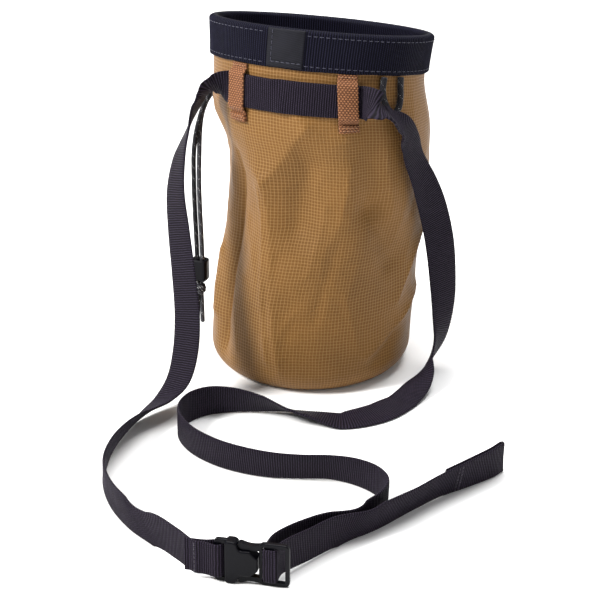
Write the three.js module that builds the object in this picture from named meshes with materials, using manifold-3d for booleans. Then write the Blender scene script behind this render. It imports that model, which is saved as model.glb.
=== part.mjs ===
// A climbing chalk bag: a soft cloth tube with a round base and a webbing rim, and a waist belt that runs
// through two loops, down to the floor on both sides and to a fastened buckle in front of the bag.
// Millimetres, +Z up. The origin is the middle of the base, on the floor, and the belt crosses the -Y side.
// A turn is an angle round the bag in degrees, 0 at the front (-Y) and positive towards +X.
import * as THREE from 'three';
import { mergeVertices } from 'three/addons/utils/BufferGeometryUtils.js';
import Module from 'manifold-3d';

const wasm = await Module();
wasm.setup();

// Driving sizes of the bag
const bodyRadius = 49;
const rimHeight = 170;
const clothWall = 1.4;
const bottomRound = 11;
const baseSeam = 4.5;
const baseThick = 1.6;
const rimPitch = 15.5;
const bandHeight = 18.5;
const bandThick = 1.2;
const patchTurn = -3.5;
const patchWidth = 18.5;
const patchThick = 0.7;
const loopWidth = 10;
const loopThick = 1.0;
const loopHem = 3.2;
const loopRamp = 1.8;
const loopTurnLeft = -31.5;
const loopTurnRight = 30;
const loopSlack = 4;
const fit = 0.3;

// Driving sizes of the belt and its buckle
const beltWidth = 16;
const beltThick = 1.4;
const beltEase = 0.45;
const laidReach = 100;
const pullLoop = 37;
const sewnEnd = 13.5;
const buckleWidth = 20.6;
const buckleHeading = 5;
const femaleBar = 2.4;
const femaleSlot = 2.6;
const femaleBody = 14.6;
const shoulder = 5.6;
const maleSlot = 2.0;
const centreBar = 3.4;
const tailSlot = 4.9;
const outerBar = 1.8;
const yoke = 1.4;
const plateThick = 2.4;
const sleeveThick = 6.2;
const sleeveHalf = 6.2;
const armThick = 3.0;
const armWide = 2.1;

// Driving sizes of the cords
const brushCord = 3.0;
const brushDrop = 16.5;
const brushTurnLeft = 50.5;
const brushTurnRight = 62;
const drawCord = 2.4;
const lockLong = 11;
const lockWide = 8.6;
const lockDeep = 6.4;
const knotHigh = 7;
const eyeletRim = 5;
const eyeletThick = 1.2;

// Resolution of the curved pieces
const bodySegments = 56;
const wallRows = 17;
const beltStep = 10;
const beltBend = 20;
const cordSides = 8;

const rad = THREE.MathUtils.degToRad;
const floorTouch = 0.1;

// Cross-sections of the cloth tube. at is a share of rimHeight; across (+X), back (+Y), wide and deep are
// shares of bodyRadius; lean is a share of the rim's pitch.
const sections = [
  { at: 0.00, across: 0.00, back: 0.00, wide: 1.00, deep: 1.00, lean: 0.00 },
  { at: 0.16, across: 0.02, back: 0.03, wide: 1.00, deep: 1.00, lean: 0.00 },
  { at: 0.28, across: 0.04, back: 0.08, wide: 0.99, deep: 0.99, lean: 0.00 },
  { at: 0.40, across: 0.09, back: 0.13, wide: 0.98, deep: 0.98, lean: 0.02 },
  { at: 0.53, across: 0.13, back: 0.17, wide: 0.99, deep: 0.98, lean: 0.08 },
  { at: 0.65, across: 0.12, back: 0.18, wide: 1.01, deep: 0.97, lean: 0.25 },
  { at: 0.75, across: 0.06, back: 0.17, wide: 1.07, deep: 0.95, lean: 0.55 },
  { at: 0.87, across: 0.03, back: 0.18, wide: 1.05, deep: 0.91, lean: 0.90 },
  { at: 1.00, across: 0.03, back: 0.27, wide: 1.09, deep: 0.88, lean: 1.00 },
];

// Folds and dents of the cloth, each a straight line over the wall from one turn and height to another.
// High and low are shares of rimHeight; half is the fold's half width and rise its height (a dent's is
// negative), both shares of bodyRadius. A sharp fold has a ridge, the others are rounded.
const folds = [
  { fromTurn: -21, high: 0.62, toTurn: 0, low: 0.07, half: 0.20, rise: 0.070, sharp: true },
  { fromTurn: 8, high: 0.76, toTurn: -20, low: 0.61, half: 0.14, rise: 0.045, sharp: true },
  { fromTurn: 6, high: 0.64, toTurn: 2, low: 0.50, half: 0.30, rise: -0.075, sharp: false },
  { fromTurn: -43, high: 0.60, toTurn: -45, low: 0.06, half: 0.13, rise: -0.055, sharp: false },
  { fromTurn: -62, high: 0.34, toTurn: -58, low: 0.18, half: 0.08, rise: 0.035, sharp: false },
  { fromTurn: -58, high: 0.72, toTurn: -70, low: 0.60, half: 0.16, rise: -0.050, sharp: false },
  { fromTurn: -10, high: 0.85, toTurn: 8, low: 0.76, half: 0.10, rise: 0.020, sharp: true },
  { fromTurn: 41, high: 0.76, toTurn: 42, low: 0.55, half: 0.16, rise: -0.060, sharp: false },
  { fromTurn: 44, high: 0.54, toTurn: 62, low: 0.38, half: 0.15, rise: -0.060, sharp: false },
  { fromTurn: 96, high: 0.46, toTurn: 70, low: 0.25, half: 0.12, rise: 0.050, sharp: true },
  { fromTurn: 98, high: 0.24, toTurn: 50, low: 0.11, half: 0.12, rise: 0.050, sharp: true },
  { fromTurn: 70, high: 0.15, toTurn: 58, low: 0.07, half: 0.12, rise: -0.040, sharp: false },
  { fromTurn: 150, high: 0.66, toTurn: 215, low: 0.60, half: 0.14, rise: -0.060, sharp: false },
  { fromTurn: 130, high: 0.50, toTurn: 190, low: 0.44, half: 0.15, rise: -0.055, sharp: false },
  { fromTurn: 200, high: 0.40, toTurn: 232, low: 0.16, half: 0.14, rise: 0.045, sharp: true },
  { fromTurn: 148, high: 0.34, toTurn: 160, low: 0.08, half: 0.16, rise: -0.045, sharp: false },
];

// The belt's way from the buckle's sewn end to the left loop. out is the distance beyond the body's radius,
// a share of laidReach; rise is a share of the height of the belt at the loops, 0 where it stands or lies on
// the floor. edgeX, edgeY and edgeZ point from the belt's lower edge to its upper edge as worn.
const leftRoute = [
  { turn: 2.5, out: 1.69, rise: 0.067, edgeX: 0.0, edgeY: 0.0, edgeZ: 1.0 },
  { turn: -1.5, out: 1.58, rise: 0.058, edgeX: 0.0, edgeY: 0.0, edgeZ: 1.0 },
  { turn: -6.5, out: 1.475, rise: 0, edgeX: 0.0, edgeY: -0.05, edgeZ: 1.0 },
  { turn: -11.6, out: 1.345, rise: 0, edgeX: 0.0, edgeY: -0.1, edgeZ: 1.0 },
  { turn: -16.0, out: 1.20, rise: 0, edgeX: 0.1, edgeY: -0.2, edgeZ: 0.95 },
  { turn: -19.8, out: 1.03, rise: 0, edgeX: 0.25, edgeY: -0.3, edgeZ: 0.9 },
  { turn: -23.6, out: 0.83, rise: 0, edgeX: 0.4, edgeY: -0.5, edgeZ: 0.72 },
  { turn: -26.8, out: 0.64, rise: 0.04, edgeX: 0.5, edgeY: -0.65, edgeZ: 0.5 },
  { turn: -27.6, out: 0.49, rise: 0.06, edgeX: 0.75, edgeY: -0.6, edgeZ: 0.3 },
  { turn: -28.2, out: 0.39, rise: 0.10, edgeX: 0.86, edgeY: -0.5, edgeZ: 0.1 },
  { turn: -30.0, out: 0.32, rise: 0.17, edgeX: 0.92, edgeY: -0.4, edgeZ: 0.05 },
  { turn: -33.0, out: 0.27, rise: 0.28, edgeX: 0.93, edgeY: -0.35, edgeZ: 0.1 },
  { turn: -38.3, out: 0.24, rise: 0.41, edgeX: 0.9, edgeY: -0.4, edgeZ: 0.2 },
  { turn: -44.5, out: 0.22, rise: 0.54, edgeX: 0.84, edgeY: -0.45, edgeZ: 0.25 },
  { turn: -50.0, out: 0.205, rise: 0.66, edgeX: 0.74, edgeY: -0.55, edgeZ: 0.35 },
  { turn: -54.6, out: 0.165, rise: 0.76, edgeX: 0.6, edgeY: -0.6, edgeZ: 0.5 },
  { turn: -58.3, out: 0.11, rise: 0.84, edgeX: 0.4, edgeY: -0.7, edgeZ: 0.6 },
  { turn: -58.6, out: 0.069, rise: 0.912, edgeX: 0.17, edgeY: -0.82, edgeZ: 0.55 },
  { turn: -58.1, out: 0.051, rise: 0.938, edgeX: 0.21, edgeY: -0.82, edgeZ: 0.53 },
  { turn: -57.6, out: 0.033, rise: 0.958, edgeX: 0.18, edgeY: -0.76, edgeZ: 0.63 },
  { turn: -57.0, out: 0.012, rise: 0.975, edgeX: 0.18, edgeY: -0.64, edgeZ: 0.75 },
  { turn: -55.7, out: -0.024, rise: 0.985, edgeX: 0.16, edgeY: -0.52, edgeZ: 0.83 },
];

// The belt's way from the right loop round the floor to the back of the buckle's ladder lock
const rightRoute = [
  { turn: 50.8, out: 0.014, rise: 0.995, edgeX: -0.1, edgeY: 0.45, edgeZ: 0.88 },
  { turn: 51.7, out: 0.062, rise: 0.994, edgeX: -0.17, edgeY: 0.86, edgeZ: 0.48 },
  { turn: 54.5, out: 0.078, rise: 0.981, edgeX: -0.16, edgeY: 0.98, edgeZ: -0.1 },
  { turn: 57.0, out: 0.092, rise: 0.967, edgeX: -0.18, edgeY: 0.95, edgeZ: -0.25 },
  { turn: 61.8, out: 0.089, rise: 0.936, edgeX: -0.06, edgeY: 0.95, edgeZ: -0.3 },
  { turn: 68.3, out: 0.083, rise: 0.897, edgeX: 0.11, edgeY: 0.94, edgeZ: -0.31 },
  { turn: 74.4, out: 0.077, rise: 0.838, edgeX: 0.2, edgeY: 0.94, edgeZ: -0.28 },
  { turn: 78.2, out: 0.078, rise: 0.775, edgeX: 0.25, edgeY: 0.93, edgeZ: -0.25 },
  { turn: 84.4, out: 0.11, rise: 0.67, edgeX: 0.45, edgeY: 0.88, edgeZ: -0.15 },
  { turn: 89.4, out: 0.136, rise: 0.57, edgeX: 0.6, edgeY: 0.78, edgeZ: -0.1 },
  { turn: 92.8, out: 0.16, rise: 0.455, edgeX: 0.66, edgeY: 0.74, edgeZ: -0.05 },
  { turn: 95.5, out: 0.173, rise: 0.325, edgeX: 0.6, edgeY: 0.8, edgeZ: -0.05 },
  { turn: 96.0, out: 0.178, rise: 0.215, edgeX: 0.45, edgeY: 0.88, edgeZ: -0.1 },
  { turn: 93.5, out: 0.17, rise: 0.12, edgeX: 0.15, edgeY: 0.95, edgeZ: -0.3 },
  { turn: 84.5, out: 0.145, rise: 0.05, edgeX: -0.28, edgeY: 0.87, edgeZ: -0.39 },
  { turn: 73.3, out: 0.165, rise: 0.015, edgeX: -0.5, edgeY: 0.85, edgeZ: -0.1 },
  { turn: 58.7, out: 0.21, rise: 0, edgeX: -0.65, edgeY: 0.75, edgeZ: 0 },
  { turn: 44.0, out: 0.27, rise: 0, edgeX: -0.5, edgeY: 0.85, edgeZ: 0.1 },
  { turn: 31.0, out: 0.285, rise: 0, edgeX: -0.3, edgeY: 0.94, edgeZ: 0.05 },
  { turn: 20.0, out: 0.25, rise: 0, edgeX: -0.2, edgeY: 0.92, edgeZ: -0.25 },
  { turn: 10.0, out: 0.235, rise: 0, edgeX: -0.1, edgeY: 0.85, edgeZ: -0.5 },
  { turn: 0.5, out: 0.24, rise: 0, edgeX: 0, edgeY: 0.6, edgeZ: -0.8 },
  { turn: -10.0, out: 0.275, rise: 0, edgeX: 0, edgeY: 0.3, edgeZ: -0.95 },
  { turn: -17.2, out: 0.35, rise: 0, edgeX: 0, edgeY: 0.1, edgeZ: -1 },
  { turn: -19.4, out: 0.46, rise: 0, edgeX: 0, edgeY: 0, edgeZ: -1 },
  { turn: -17.0, out: 0.595, rise: 0, edgeX: 0, edgeY: 0, edgeZ: -1 },
  { turn: -10.2, out: 0.715, rise: 0, edgeX: 0, edgeY: 0.1, edgeZ: -1 },
  { turn: -2.8, out: 0.79, rise: 0, edgeX: 0, edgeY: 0.15, edgeZ: -1 },
  { turn: 3.6, out: 0.83, rise: 0, edgeX: -0.05, edgeY: 0.2, edgeZ: -1 },
  { turn: 9.9, out: 0.855, rise: 0, edgeX: -0.1, edgeY: 0.25, edgeZ: -1 },
  { turn: 15.7, out: 0.86, rise: 0, edgeX: -0.1, edgeY: 0.3, edgeZ: -0.95 },
  { turn: 21.6, out: 0.868, rise: 0, edgeX: -0.1, edgeY: 0.3, edgeZ: -0.95 },
  { turn: 26.4, out: 0.93, rise: 0, edgeX: -0.1, edgeY: 0.2, edgeZ: -1 },
  { turn: 29.4, out: 1.03, rise: 0, edgeX: -0.1, edgeY: 0.1, edgeZ: -1 },
  { turn: 30.1, out: 1.14, rise: 0, edgeX: -0.1, edgeY: 0.1, edgeZ: -1 },
  { turn: 28.6, out: 1.25, rise: 0, edgeX: 0, edgeY: 0.1, edgeZ: -1 },
  { turn: 25.2, out: 1.345, rise: 0, edgeX: 0, edgeY: 0.1, edgeZ: -1 },
  { turn: 20.6, out: 1.43, rise: 0.053, edgeX: 0, edgeY: 0.05, edgeZ: -1 },
  { turn: 16.5, out: 1.53, rise: 0.06, edgeX: 0, edgeY: 0, edgeZ: -1 },
];

// The row of the right route where the belt's length over the floor begins
const laidFrom = 17;

// The tail's way from the ladder lock to its folded end
const tailRoute = [
  { turn: 17.6, out: 1.60, rise: 0.06, edgeX: 0, edgeY: 0, edgeZ: -1 },
  { turn: 21.8, out: 1.46, rise: 0.053, edgeX: 0, edgeY: 0.1, edgeZ: -1 },
  { turn: 27.0, out: 1.36, rise: 0, edgeX: -0.1, edgeY: 0.3, edgeZ: -0.95 },
  { turn: 33.0, out: 1.24, rise: 0, edgeX: -0.15, edgeY: 0.45, edgeZ: -0.88 },
  { turn: 39.2, out: 1.145, rise: 0, edgeX: -0.15, edgeY: 0.35, edgeZ: -0.92 },
  { turn: 45.2, out: 1.10, rise: 0, edgeX: -0.1, edgeY: 0.2, edgeZ: -0.97 },
  { turn: 50.6, out: 1.07, rise: 0, edgeX: -0.05, edgeY: 0.1, edgeZ: -1 },
  { turn: 52.9, out: 1.05, rise: 0, edgeX: -0.05, edgeY: 0.1, edgeZ: -1 },
];

// Routes of the two strands of the drawcord, from the eyelet to the knot: places beyond the body's left
// side (+X) and beside the origin (+Y), and heights above the floor
const drawcordRoute = [
  { x: -5.6, y: 8.0, z: 128.0 },
  { x: -7.2, y: 6.4, z: 124.6 },
  { x: -8.6, y: 4.2, z: 118.8 },
  { x: -9.6, y: 2.4, z: 111.0 },
  { x: -10.2, y: 1.4, z: 100.0 },
  { x: -10.2, y: 0.6, z: 86.0 },
  { x: -9.7, y: 0.0, z: 70.0 },
  { x: -9.0, y: -0.5, z: 56.0 },
  { x: -8.7, y: -0.6, z: 46.0 },
  { x: -8.6, y: -0.6, z: 38.0 },
  { x: -8.6, y: -0.6, z: 31.5 },
];
const eyeletTurn = -90;
const eyeletDrop = 20.5; // from the band's lower edge to the eyelet's middle
const eyeletHeight = rimHeight - bandHeight - eyeletDrop;
const lockBottom = 33;

const beltDrop = bandHeight + loopSlack + beltWidth / 2;
const baseRadius = bodyRadius - bottomRound - baseSeam;
const bandSeat = 1.5 * fit;
const bandStand = bandSeat + bandThick;
const pitchCos = Math.cos(rad(rimPitch));

function smooth(edge0, edge1, value) {
  return THREE.MathUtils.smoothstep(value, edge0, edge1);
}

// Catmull-Rom value of one column of the sections
function column(name, at) {
  const last = sections.length - 1;
  let k = 0;
  while (k < last - 1 && sections[k + 1].at < at) k += 1;
  const row = (i) => sections[THREE.MathUtils.clamp(i, 0, last)];
  const span = sections[k + 1].at - sections[k].at;
  const u = (at - sections[k].at) / span;
  const slope = (i) => {
    const run = row(i + 1).at - row(i - 1).at;
    return (row(i + 1)[name] - row(i - 1)[name]) / run * span;
  };
  const u2 = u * u;
  const u3 = u2 * u;
  return (2 * u3 - 3 * u2 + 1) * row(k)[name] + (u3 - 2 * u2 + u) * slope(k)
    + (3 * u2 - 2 * u3) * row(k + 1)[name] + (u3 - u2) * slope(k + 1);
}

// How far the folds lift the cloth at a turn and height
function foldRise(turn, at) {
  let rise = 0;
  for (const fold of folds) {
    const middle = (fold.fromTurn + fold.toTurn) / 2;
    const near = THREE.MathUtils.euclideanModulo(turn - middle + 180, 360) - 180 + middle;
    const point = new THREE.Vector2(rad(near) * bodyRadius, at * rimHeight);
    const start = new THREE.Vector2(rad(fold.fromTurn) * bodyRadius, fold.high * rimHeight);
    const end = new THREE.Vector2(rad(fold.toTurn) * bodyRadius, fold.low * rimHeight);
    const along = end.sub(start);
    const way = point.sub(start);
    const share = THREE.MathUtils.clamp(way.dot(along) / along.lengthSq(), 0, 1);
    const away = way.sub(along.multiplyScalar(share)).length() / (fold.half * bodyRadius);
    const profile = fold.sharp ? Math.exp(-1.2 * away) : Math.exp(-away * away);
    rise += fold.rise * bodyRadius * profile;
  }
  const above = smooth(0, 2 * bottomRound, at * rimHeight);
  const below = smooth(bandHeight, bandHeight + loopSlack + beltWidth, (1 - at) * rimHeight);
  return rise * above * below;
}

// A point of the cloth's outer surface, at a turn and a share of the rim's height
function clothPoint(turn, at) {
  const a = rad(turn);
  const bulge = foldRise(turn, at);
  const x = Math.sin(a) * (column('wide', at) * bodyRadius + bulge);
  const y = -Math.cos(a) * (column('deep', at) * bodyRadius + bulge);
  const pitch = rad(rimPitch) * column('lean', at);
  return new THREE.Vector3(
    column('across', at) * bodyRadius + x,
    column('back', at) * bodyRadius + y * Math.cos(pitch),
    at * rimHeight - y * Math.sin(pitch),
  );
}

// The same point with its outward normal, its way up the wall and its way round it
function wall(turn, at) {
  const step = 0.5;
  const up = clothPoint(turn, at + step / rimHeight).sub(clothPoint(turn, at - step / rimHeight)).normalize();
  const round = clothPoint(turn + step, at).sub(clothPoint(turn - step, at)).normalize();
  const out = round.clone().cross(up).normalize();
  return { point: clothPoint(turn, at), out, up, round };
}

// A point off the cloth: drop is the distance down from the mouth's edge, off the distance outwards
function onWall(turn, drop, off) {
  const place = wall(turn, 1 - drop * pitchCos / rimHeight);
  place.point.addScaledVector(place.out, off);
  return place;
}

// A closed skin through rings of equal count; open runs are closed with a strip of faces across each end
function skin(rings, closed) {
  const count = rings[0].length;
  const positions = [];
  for (const ring of rings) {
    for (const p of ring) positions.push(p.x, p.y, p.z);
  }
  const index = [];
  const runs = closed ? rings.length : rings.length - 1;
  for (let i = 0; i < runs; i += 1) {
    const here = i * count;
    const next = ((i + 1) % rings.length) * count;
    for (let k = 0; k < count; k += 1) {
      const l = (k + 1) % count;
      index.push(here + k, here + l, next + l, here + k, next + l, next + k);
    }
  }
  if (!closed) {
    const far = (rings.length - 1) * count;
    for (let k = 0; k < count / 2 - 1; k += 1) {
      const l = count - 1 - k;
      index.push(k, l, l - 1, k, l - 1, k + 1);
      index.push(far + k, far + k + 1, far + l - 1, far + k, far + l - 1, far + l);
    }
  }
  const geometry = new THREE.BufferGeometry();
  geometry.setAttribute('position', new THREE.Float32BufferAttribute(positions, 3));
  geometry.setIndex(index);
  return outward(geometry);
}

// Turns the faces of a closed geometry outwards
function outward(geometry) {
  const p = geometry.attributes.position;
  const index = geometry.index;
  const corner = (i) => new THREE.Vector3().fromBufferAttribute(p, index.getX(i));
  let volume = 0;
  for (let i = 0; i < index.count; i += 3) {
    volume += corner(i).dot(corner(i + 1).cross(corner(i + 2)));
  }
  if (volume < 0) {
    for (let i = 0; i < index.count; i += 3) {
      const first = index.getX(i);
      index.setX(i, index.getX(i + 1));
      index.setX(i + 1, first);
    }
  }
  geometry.computeVertexNormals();
  return geometry;
}

// Solids for the boolean joins and cuts
function solid(geometry) {
  const bare = geometry.clone();
  bare.deleteAttribute('normal');
  bare.deleteAttribute('uv');
  const merged = mergeVertices(bare, 1e-4);
  return new wasm.Manifold(new wasm.Mesh({
    numProp: 3,
    vertProperties: new Float32Array(merged.attributes.position.array),
    triVerts: new Uint32Array(merged.index.array),
  }));
}

function geometryOf(manifold) {
  const mesh = manifold.getMesh();
  const geometry = new THREE.BufferGeometry();
  geometry.setAttribute('position', new THREE.BufferAttribute(new Float32Array(mesh.vertProperties), 3));
  geometry.setIndex(new THREE.BufferAttribute(new Uint32Array(mesh.triVerts), 1));
  geometry.computeVertexNormals();
  return geometry;
}

// The cloth tube: up its outer face from the base seam to the mouth, and down its inner face
function makeShell() {
  const topDrop = bandStand + fit;
  const topAt = 1 - topDrop * pitchCos / rimHeight;
  const roundAt = bottomRound / rimHeight;
  const roundSteps = 4;
  const seamInset = bodyRadius - baseRadius - fit;
  const rings = [];
  for (let i = 0; i < bodySegments; i += 1) {
    const turn = (i / bodySegments) * 360;
    const inwards = new THREE.Vector3(-Math.sin(rad(turn)), Math.cos(rad(turn)), 0);
    const under = (inset, height) => {
      const p = clothPoint(turn, height / rimHeight).addScaledVector(inwards, inset);
      p.z = height;
      return p;
    };
    const outer = [under(seamInset, 0)];
    const inner = [under(seamInset, clothWall)];
    for (let k = 0; k < roundSteps; k += 1) {
      const a = (k / roundSteps) * Math.PI / 2;
      const sweep = bottomRound - clothWall;
      outer.push(under(bottomRound * (1 - Math.sin(a)), bottomRound * (1 - Math.cos(a))));
      inner.push(under(bottomRound - sweep * Math.sin(a), bottomRound - sweep * Math.cos(a)));
    }
    for (let k = 0; k <= wallRows; k += 1) {
      const place = wall(turn, THREE.MathUtils.lerp(roundAt, topAt, k / wallRows));
      outer.push(place.point.clone());
      inner.push(place.point.addScaledVector(place.out, -clothWall));
    }
    rings.push([...outer, ...inner.reverse()]);
  }
  return skin(rings, true);
}

function makeBase() {
  const geometry = new THREE.CylinderGeometry(baseRadius, baseRadius, baseThick, bodySegments);
  geometry.rotateX(Math.PI / 2);
  geometry.translate(0, 0, baseThick / 2);
  return geometry;
}

// The rim webbing, folded over the mouth: an outer leg, a rounded top and an inner leg
function makeBand() {
  const inside = -clothWall - bandSeat;
  const profile = [
    { off: bandSeat, drop: bandHeight },
    { off: bandStand, drop: bandHeight },
    { off: bandStand, drop: bandThick * 0.8 },
    { off: bandStand - bandThick * 0.5, drop: bandThick * 0.15 },
    { off: -clothWall / 2, drop: -bandThick * 0.1 },
    { off: inside - bandThick * 0.5, drop: bandThick * 0.15 },
    { off: inside - bandThick, drop: bandThick * 0.8 },
    { off: inside - bandThick, drop: bandHeight },
    { off: inside, drop: bandHeight },
    { off: inside, drop: bandStand },
    { off: bandSeat, drop: bandStand },
  ];
  const rings = [];
  for (let i = 0; i < bodySegments; i += 1) {
    const turn = (i / bodySegments) * 360;
    rings.push(profile.map((p) => onWall(turn, p.drop, p.off).point));
  }
  return skin(rings, true);
}

// A strip of webbing down the wall, through rows that say where it lies and its low and high face there
function makeStrip(turn, width, rows, columns) {
  const across = THREE.MathUtils.radToDeg(width / (bodyRadius * column('wide', 1)));
  const turnOf = (k) => turn + (k / columns - 0.5) * across;
  return skin(rows.map((row) => {
    const low = [];
    const high = [];
    for (let k = 0; k <= columns; k += 1) {
      const place = row.place(turnOf(k));
      low.push(place.point.clone().addScaledVector(place.out, row.low));
      high.unshift(place.point.clone().addScaledVector(place.out, row.high));
    }
    return [...low, ...high];
  }), false);
}

function makePatch() {
  const low = bandStand + fit;
  const rows = [0.04, 0.35, 0.65, 0.96].map((share) => ({
    place: (turn) => onWall(turn, share * bandHeight, 0), low, high: low + patchThick,
  }));
  return makeStrip(patchTurn, patchWidth, rows, 6);
}

function makeBeltLoop(turn) {
  const seat = 1.5 * fit;
  const cloth = (drop, layers) => ({
    place: (t) => onWall(t, drop, 0), low: seat, high: seat + layers * loopThick,
  });
  const over = beltThick / 2 + seat;
  const belt = (rise) => ({
    place: (t) => {
      const place = beltOnWall(t);
      return { point: place.point.addScaledVector(place.edge, rise), out: place.out };
    },
    low: over,
    high: over + loopThick,
  });
  const top = beltDrop - beltWidth / 2;
  const bottom = beltDrop + beltWidth / 2;
  return makeStrip(turn, loopWidth, [
    cloth(bandHeight + fit, 1),
    cloth(top - loopRamp, 1),
    belt(beltWidth / 2 + fit),
    belt(0),
    belt(-beltWidth / 2 - fit),
    cloth(bottom + loopRamp, 1),
    cloth(bottom + loopRamp + fit, 2),
    cloth(bottom + loopRamp + loopHem, 2),
  ], 3);
}

// The buckle stands on its long edge in front of the bag. Its own frame: x from the sewn end to the outer
// bar of the ladder lock, y to its back, z up across its width.
const buckleZ = buckleWidth / 2 + floorTouch;
const buckleStart = new THREE.Vector3(0.29 * laidReach, -(bodyRadius + 1.757 * laidReach), buckleZ);
const buckleFrame = new THREE.Matrix4().makeRotationZ(rad(buckleHeading)).setPosition(buckleStart);
const bodyStart = femaleBar + femaleSlot;
const bodyEnd = bodyStart + femaleBody;
const yokeStart = bodyEnd + fit;
const innerSlot = yokeStart + yoke;
const barStart = innerSlot + maleSlot;
const barEnd = barStart + centreBar;
const outerStart = barEnd + tailSlot;
const buckleEnd = outerStart + outerBar;
const slotHalf = beltWidth / 2 + fit;

// A plate in the buckle's frame: an outline in x and z with rounded edges, spread evenly to both sides of y
function makePlate(shape, thick, edge) {
  const geometry = new THREE.ExtrudeGeometry(shape, {
    depth: thick - 2 * edge,
    bevelEnabled: edge > 0,
    bevelThickness: edge,
    bevelSize: edge,
    bevelOffset: -edge,
    bevelSegments: 2,
    curveSegments: 4,
  });
  geometry.translate(0, 0, -(thick - 2 * edge) / 2);
  geometry.rotateX(Math.PI / 2);
  return geometry;
}

function box(x0, x1, y0, y1, z0, z1) {
  const geometry = new THREE.BoxGeometry(x1 - x0, y1 - y0, z1 - z0);
  geometry.translate((x0 + x1) / 2, (y0 + y1) / 2, (z0 + z1) / 2);
  return geometry;
}

function roundedOutline(x0, x1, half, corner) {
  const shape = new THREE.Shape();
  shape.moveTo(x0 + corner, -half);
  shape.lineTo(x1 - corner, -half);
  shape.quadraticCurveTo(x1, -half, x1, -half + corner);
  shape.lineTo(x1, half - corner);
  shape.quadraticCurveTo(x1, half, x1 - corner, half);
  shape.lineTo(x0 + corner, half);
  shape.quadraticCurveTo(x0, half, x0, half - corner);
  shape.lineTo(x0, -half + corner);
  shape.quadraticCurveTo(x0, -half, x0 + corner, -half);
  return shape;
}

// Sleeve with its bullet tip, and the shoulders that take the arms
function sleeveOutline() {
  const half = buckleWidth / 2;
  const shoulderEnd = bodyStart + shoulder;
  const tipStart = bodyEnd - sleeveHalf * 0.55;
  const shape = new THREE.Shape();
  shape.moveTo(bodyStart, -half + 1);
  shape.lineTo(bodyStart + 1, -half);
  shape.lineTo(shoulderEnd - 2, -half);
  shape.quadraticCurveTo(shoulderEnd, -half + 0.6, shoulderEnd, -sleeveHalf - 2);
  shape.quadraticCurveTo(shoulderEnd + 0.6, -sleeveHalf, shoulderEnd + 2, -sleeveHalf);
  shape.lineTo(tipStart, -sleeveHalf);
  shape.lineTo(bodyEnd, -sleeveHalf * 0.5);
  shape.quadraticCurveTo(bodyEnd + 0.1, 0, bodyEnd, sleeveHalf * 0.5);
  shape.lineTo(tipStart, sleeveHalf);
  shape.lineTo(shoulderEnd + 2, sleeveHalf);
  shape.quadraticCurveTo(shoulderEnd + 0.6, sleeveHalf, shoulderEnd, sleeveHalf + 2);
  shape.quadraticCurveTo(shoulderEnd, half - 0.6, shoulderEnd - 2, half);
  shape.lineTo(bodyStart + 1, half);
  shape.lineTo(bodyStart, half - 1);
  return shape;
}

const armLow = sleeveHalf + fit;
const armTip = bodyStart + 2;

// One spring arm, on the side of the buckle that side says
function armOutline(side) {
  const high = armLow + armWide;
  const catchAt = bodyStart + shoulder + fit;
  const shape = new THREE.Shape();
  shape.moveTo(armTip, side * armLow);
  shape.lineTo(armTip, side * (high - 0.6));
  shape.lineTo(catchAt, side * high);
  shape.lineTo(catchAt, side * (high + 0.9));
  shape.quadraticCurveTo(catchAt + 1, side * (high + 1.5), catchAt + 2.5, side * (high + 0.7));
  shape.quadraticCurveTo(catchAt + 5, side * (high - 0.2), yokeStart, side * (high + 0.4));
  shape.lineTo(innerSlot, side * (high + 0.8));
  shape.lineTo(innerSlot, side * armLow);
  return shape;
}

function makeFemale() {
  const half = buckleWidth / 2;
  const frame = solid(makePlate(roundedOutline(0, bodyStart + 2, half, 2), plateThick, 0.5));
  const sleeve = solid(makePlate(sleeveOutline(), sleeveThick, 0.7));
  const slot = solid(box(femaleBar, bodyStart, -sleeveThick, sleeveThick, -slotHalf, slotHalf));
  let body = frame.add(sleeve).subtract(slot);
  for (const side of [-1, 1]) {
    const z0 = side * (armLow - fit);
    const z1 = side * (armLow + armWide + fit);
    const depth = armThick / 2 + fit;
    const pocketEnd = bodyStart + shoulder + 3;
    const pocket = box(armTip - fit, pocketEnd, -depth, depth, Math.min(z0, z1), Math.max(z0, z1));
    body = body.subtract(solid(pocket));
  }
  return geometryOf(body);
}

function makeMale() {
  const half = buckleWidth / 2;
  const frame = solid(makePlate(roundedOutline(yokeStart, buckleEnd, half, 2.6), plateThick, 0.5));
  const inner = solid(box(innerSlot, barStart, -plateThick, plateThick, -slotHalf, slotHalf));
  const outer = solid(box(barEnd, outerStart, -plateThick, plateThick, -slotHalf, slotHalf));
  let body = frame.subtract(inner).subtract(outer);
  for (const side of [-1, 1]) body = body.add(solid(makePlate(armOutline(side), armThick, 0)));
  return geometryOf(body);
}

// The belt's centre line, as places with the direction of its upper edge
function routePlace(row) {
  const away = bodyRadius + row.out * laidReach;
  const a = rad(row.turn);
  const beltRise = onWall(0, beltDrop, 0).point.z;
  return {
    point: new THREE.Vector3(Math.sin(a) * away, -Math.cos(a) * away, row.rise * beltRise),
    edge: new THREE.Vector3(row.edgeX, row.edgeY, row.edgeZ).normalize(),
  };
}

function inBuckle(x, y, edgeSign) {
  return {
    point: new THREE.Vector3(x, y, 0).applyMatrix4(buckleFrame),
    edge: new THREE.Vector3(0, 0, edgeSign),
  };
}

function arcInBuckle(x, y, radius, from, to, steps, edgeSign) {
  const places = [];
  for (let i = 0; i <= steps; i += 1) {
    const a = rad(THREE.MathUtils.lerp(from, to, i / steps));
    places.push(inBuckle(x + radius * Math.cos(a), y + radius * Math.sin(a), edgeSign));
  }
  return places;
}

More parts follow.
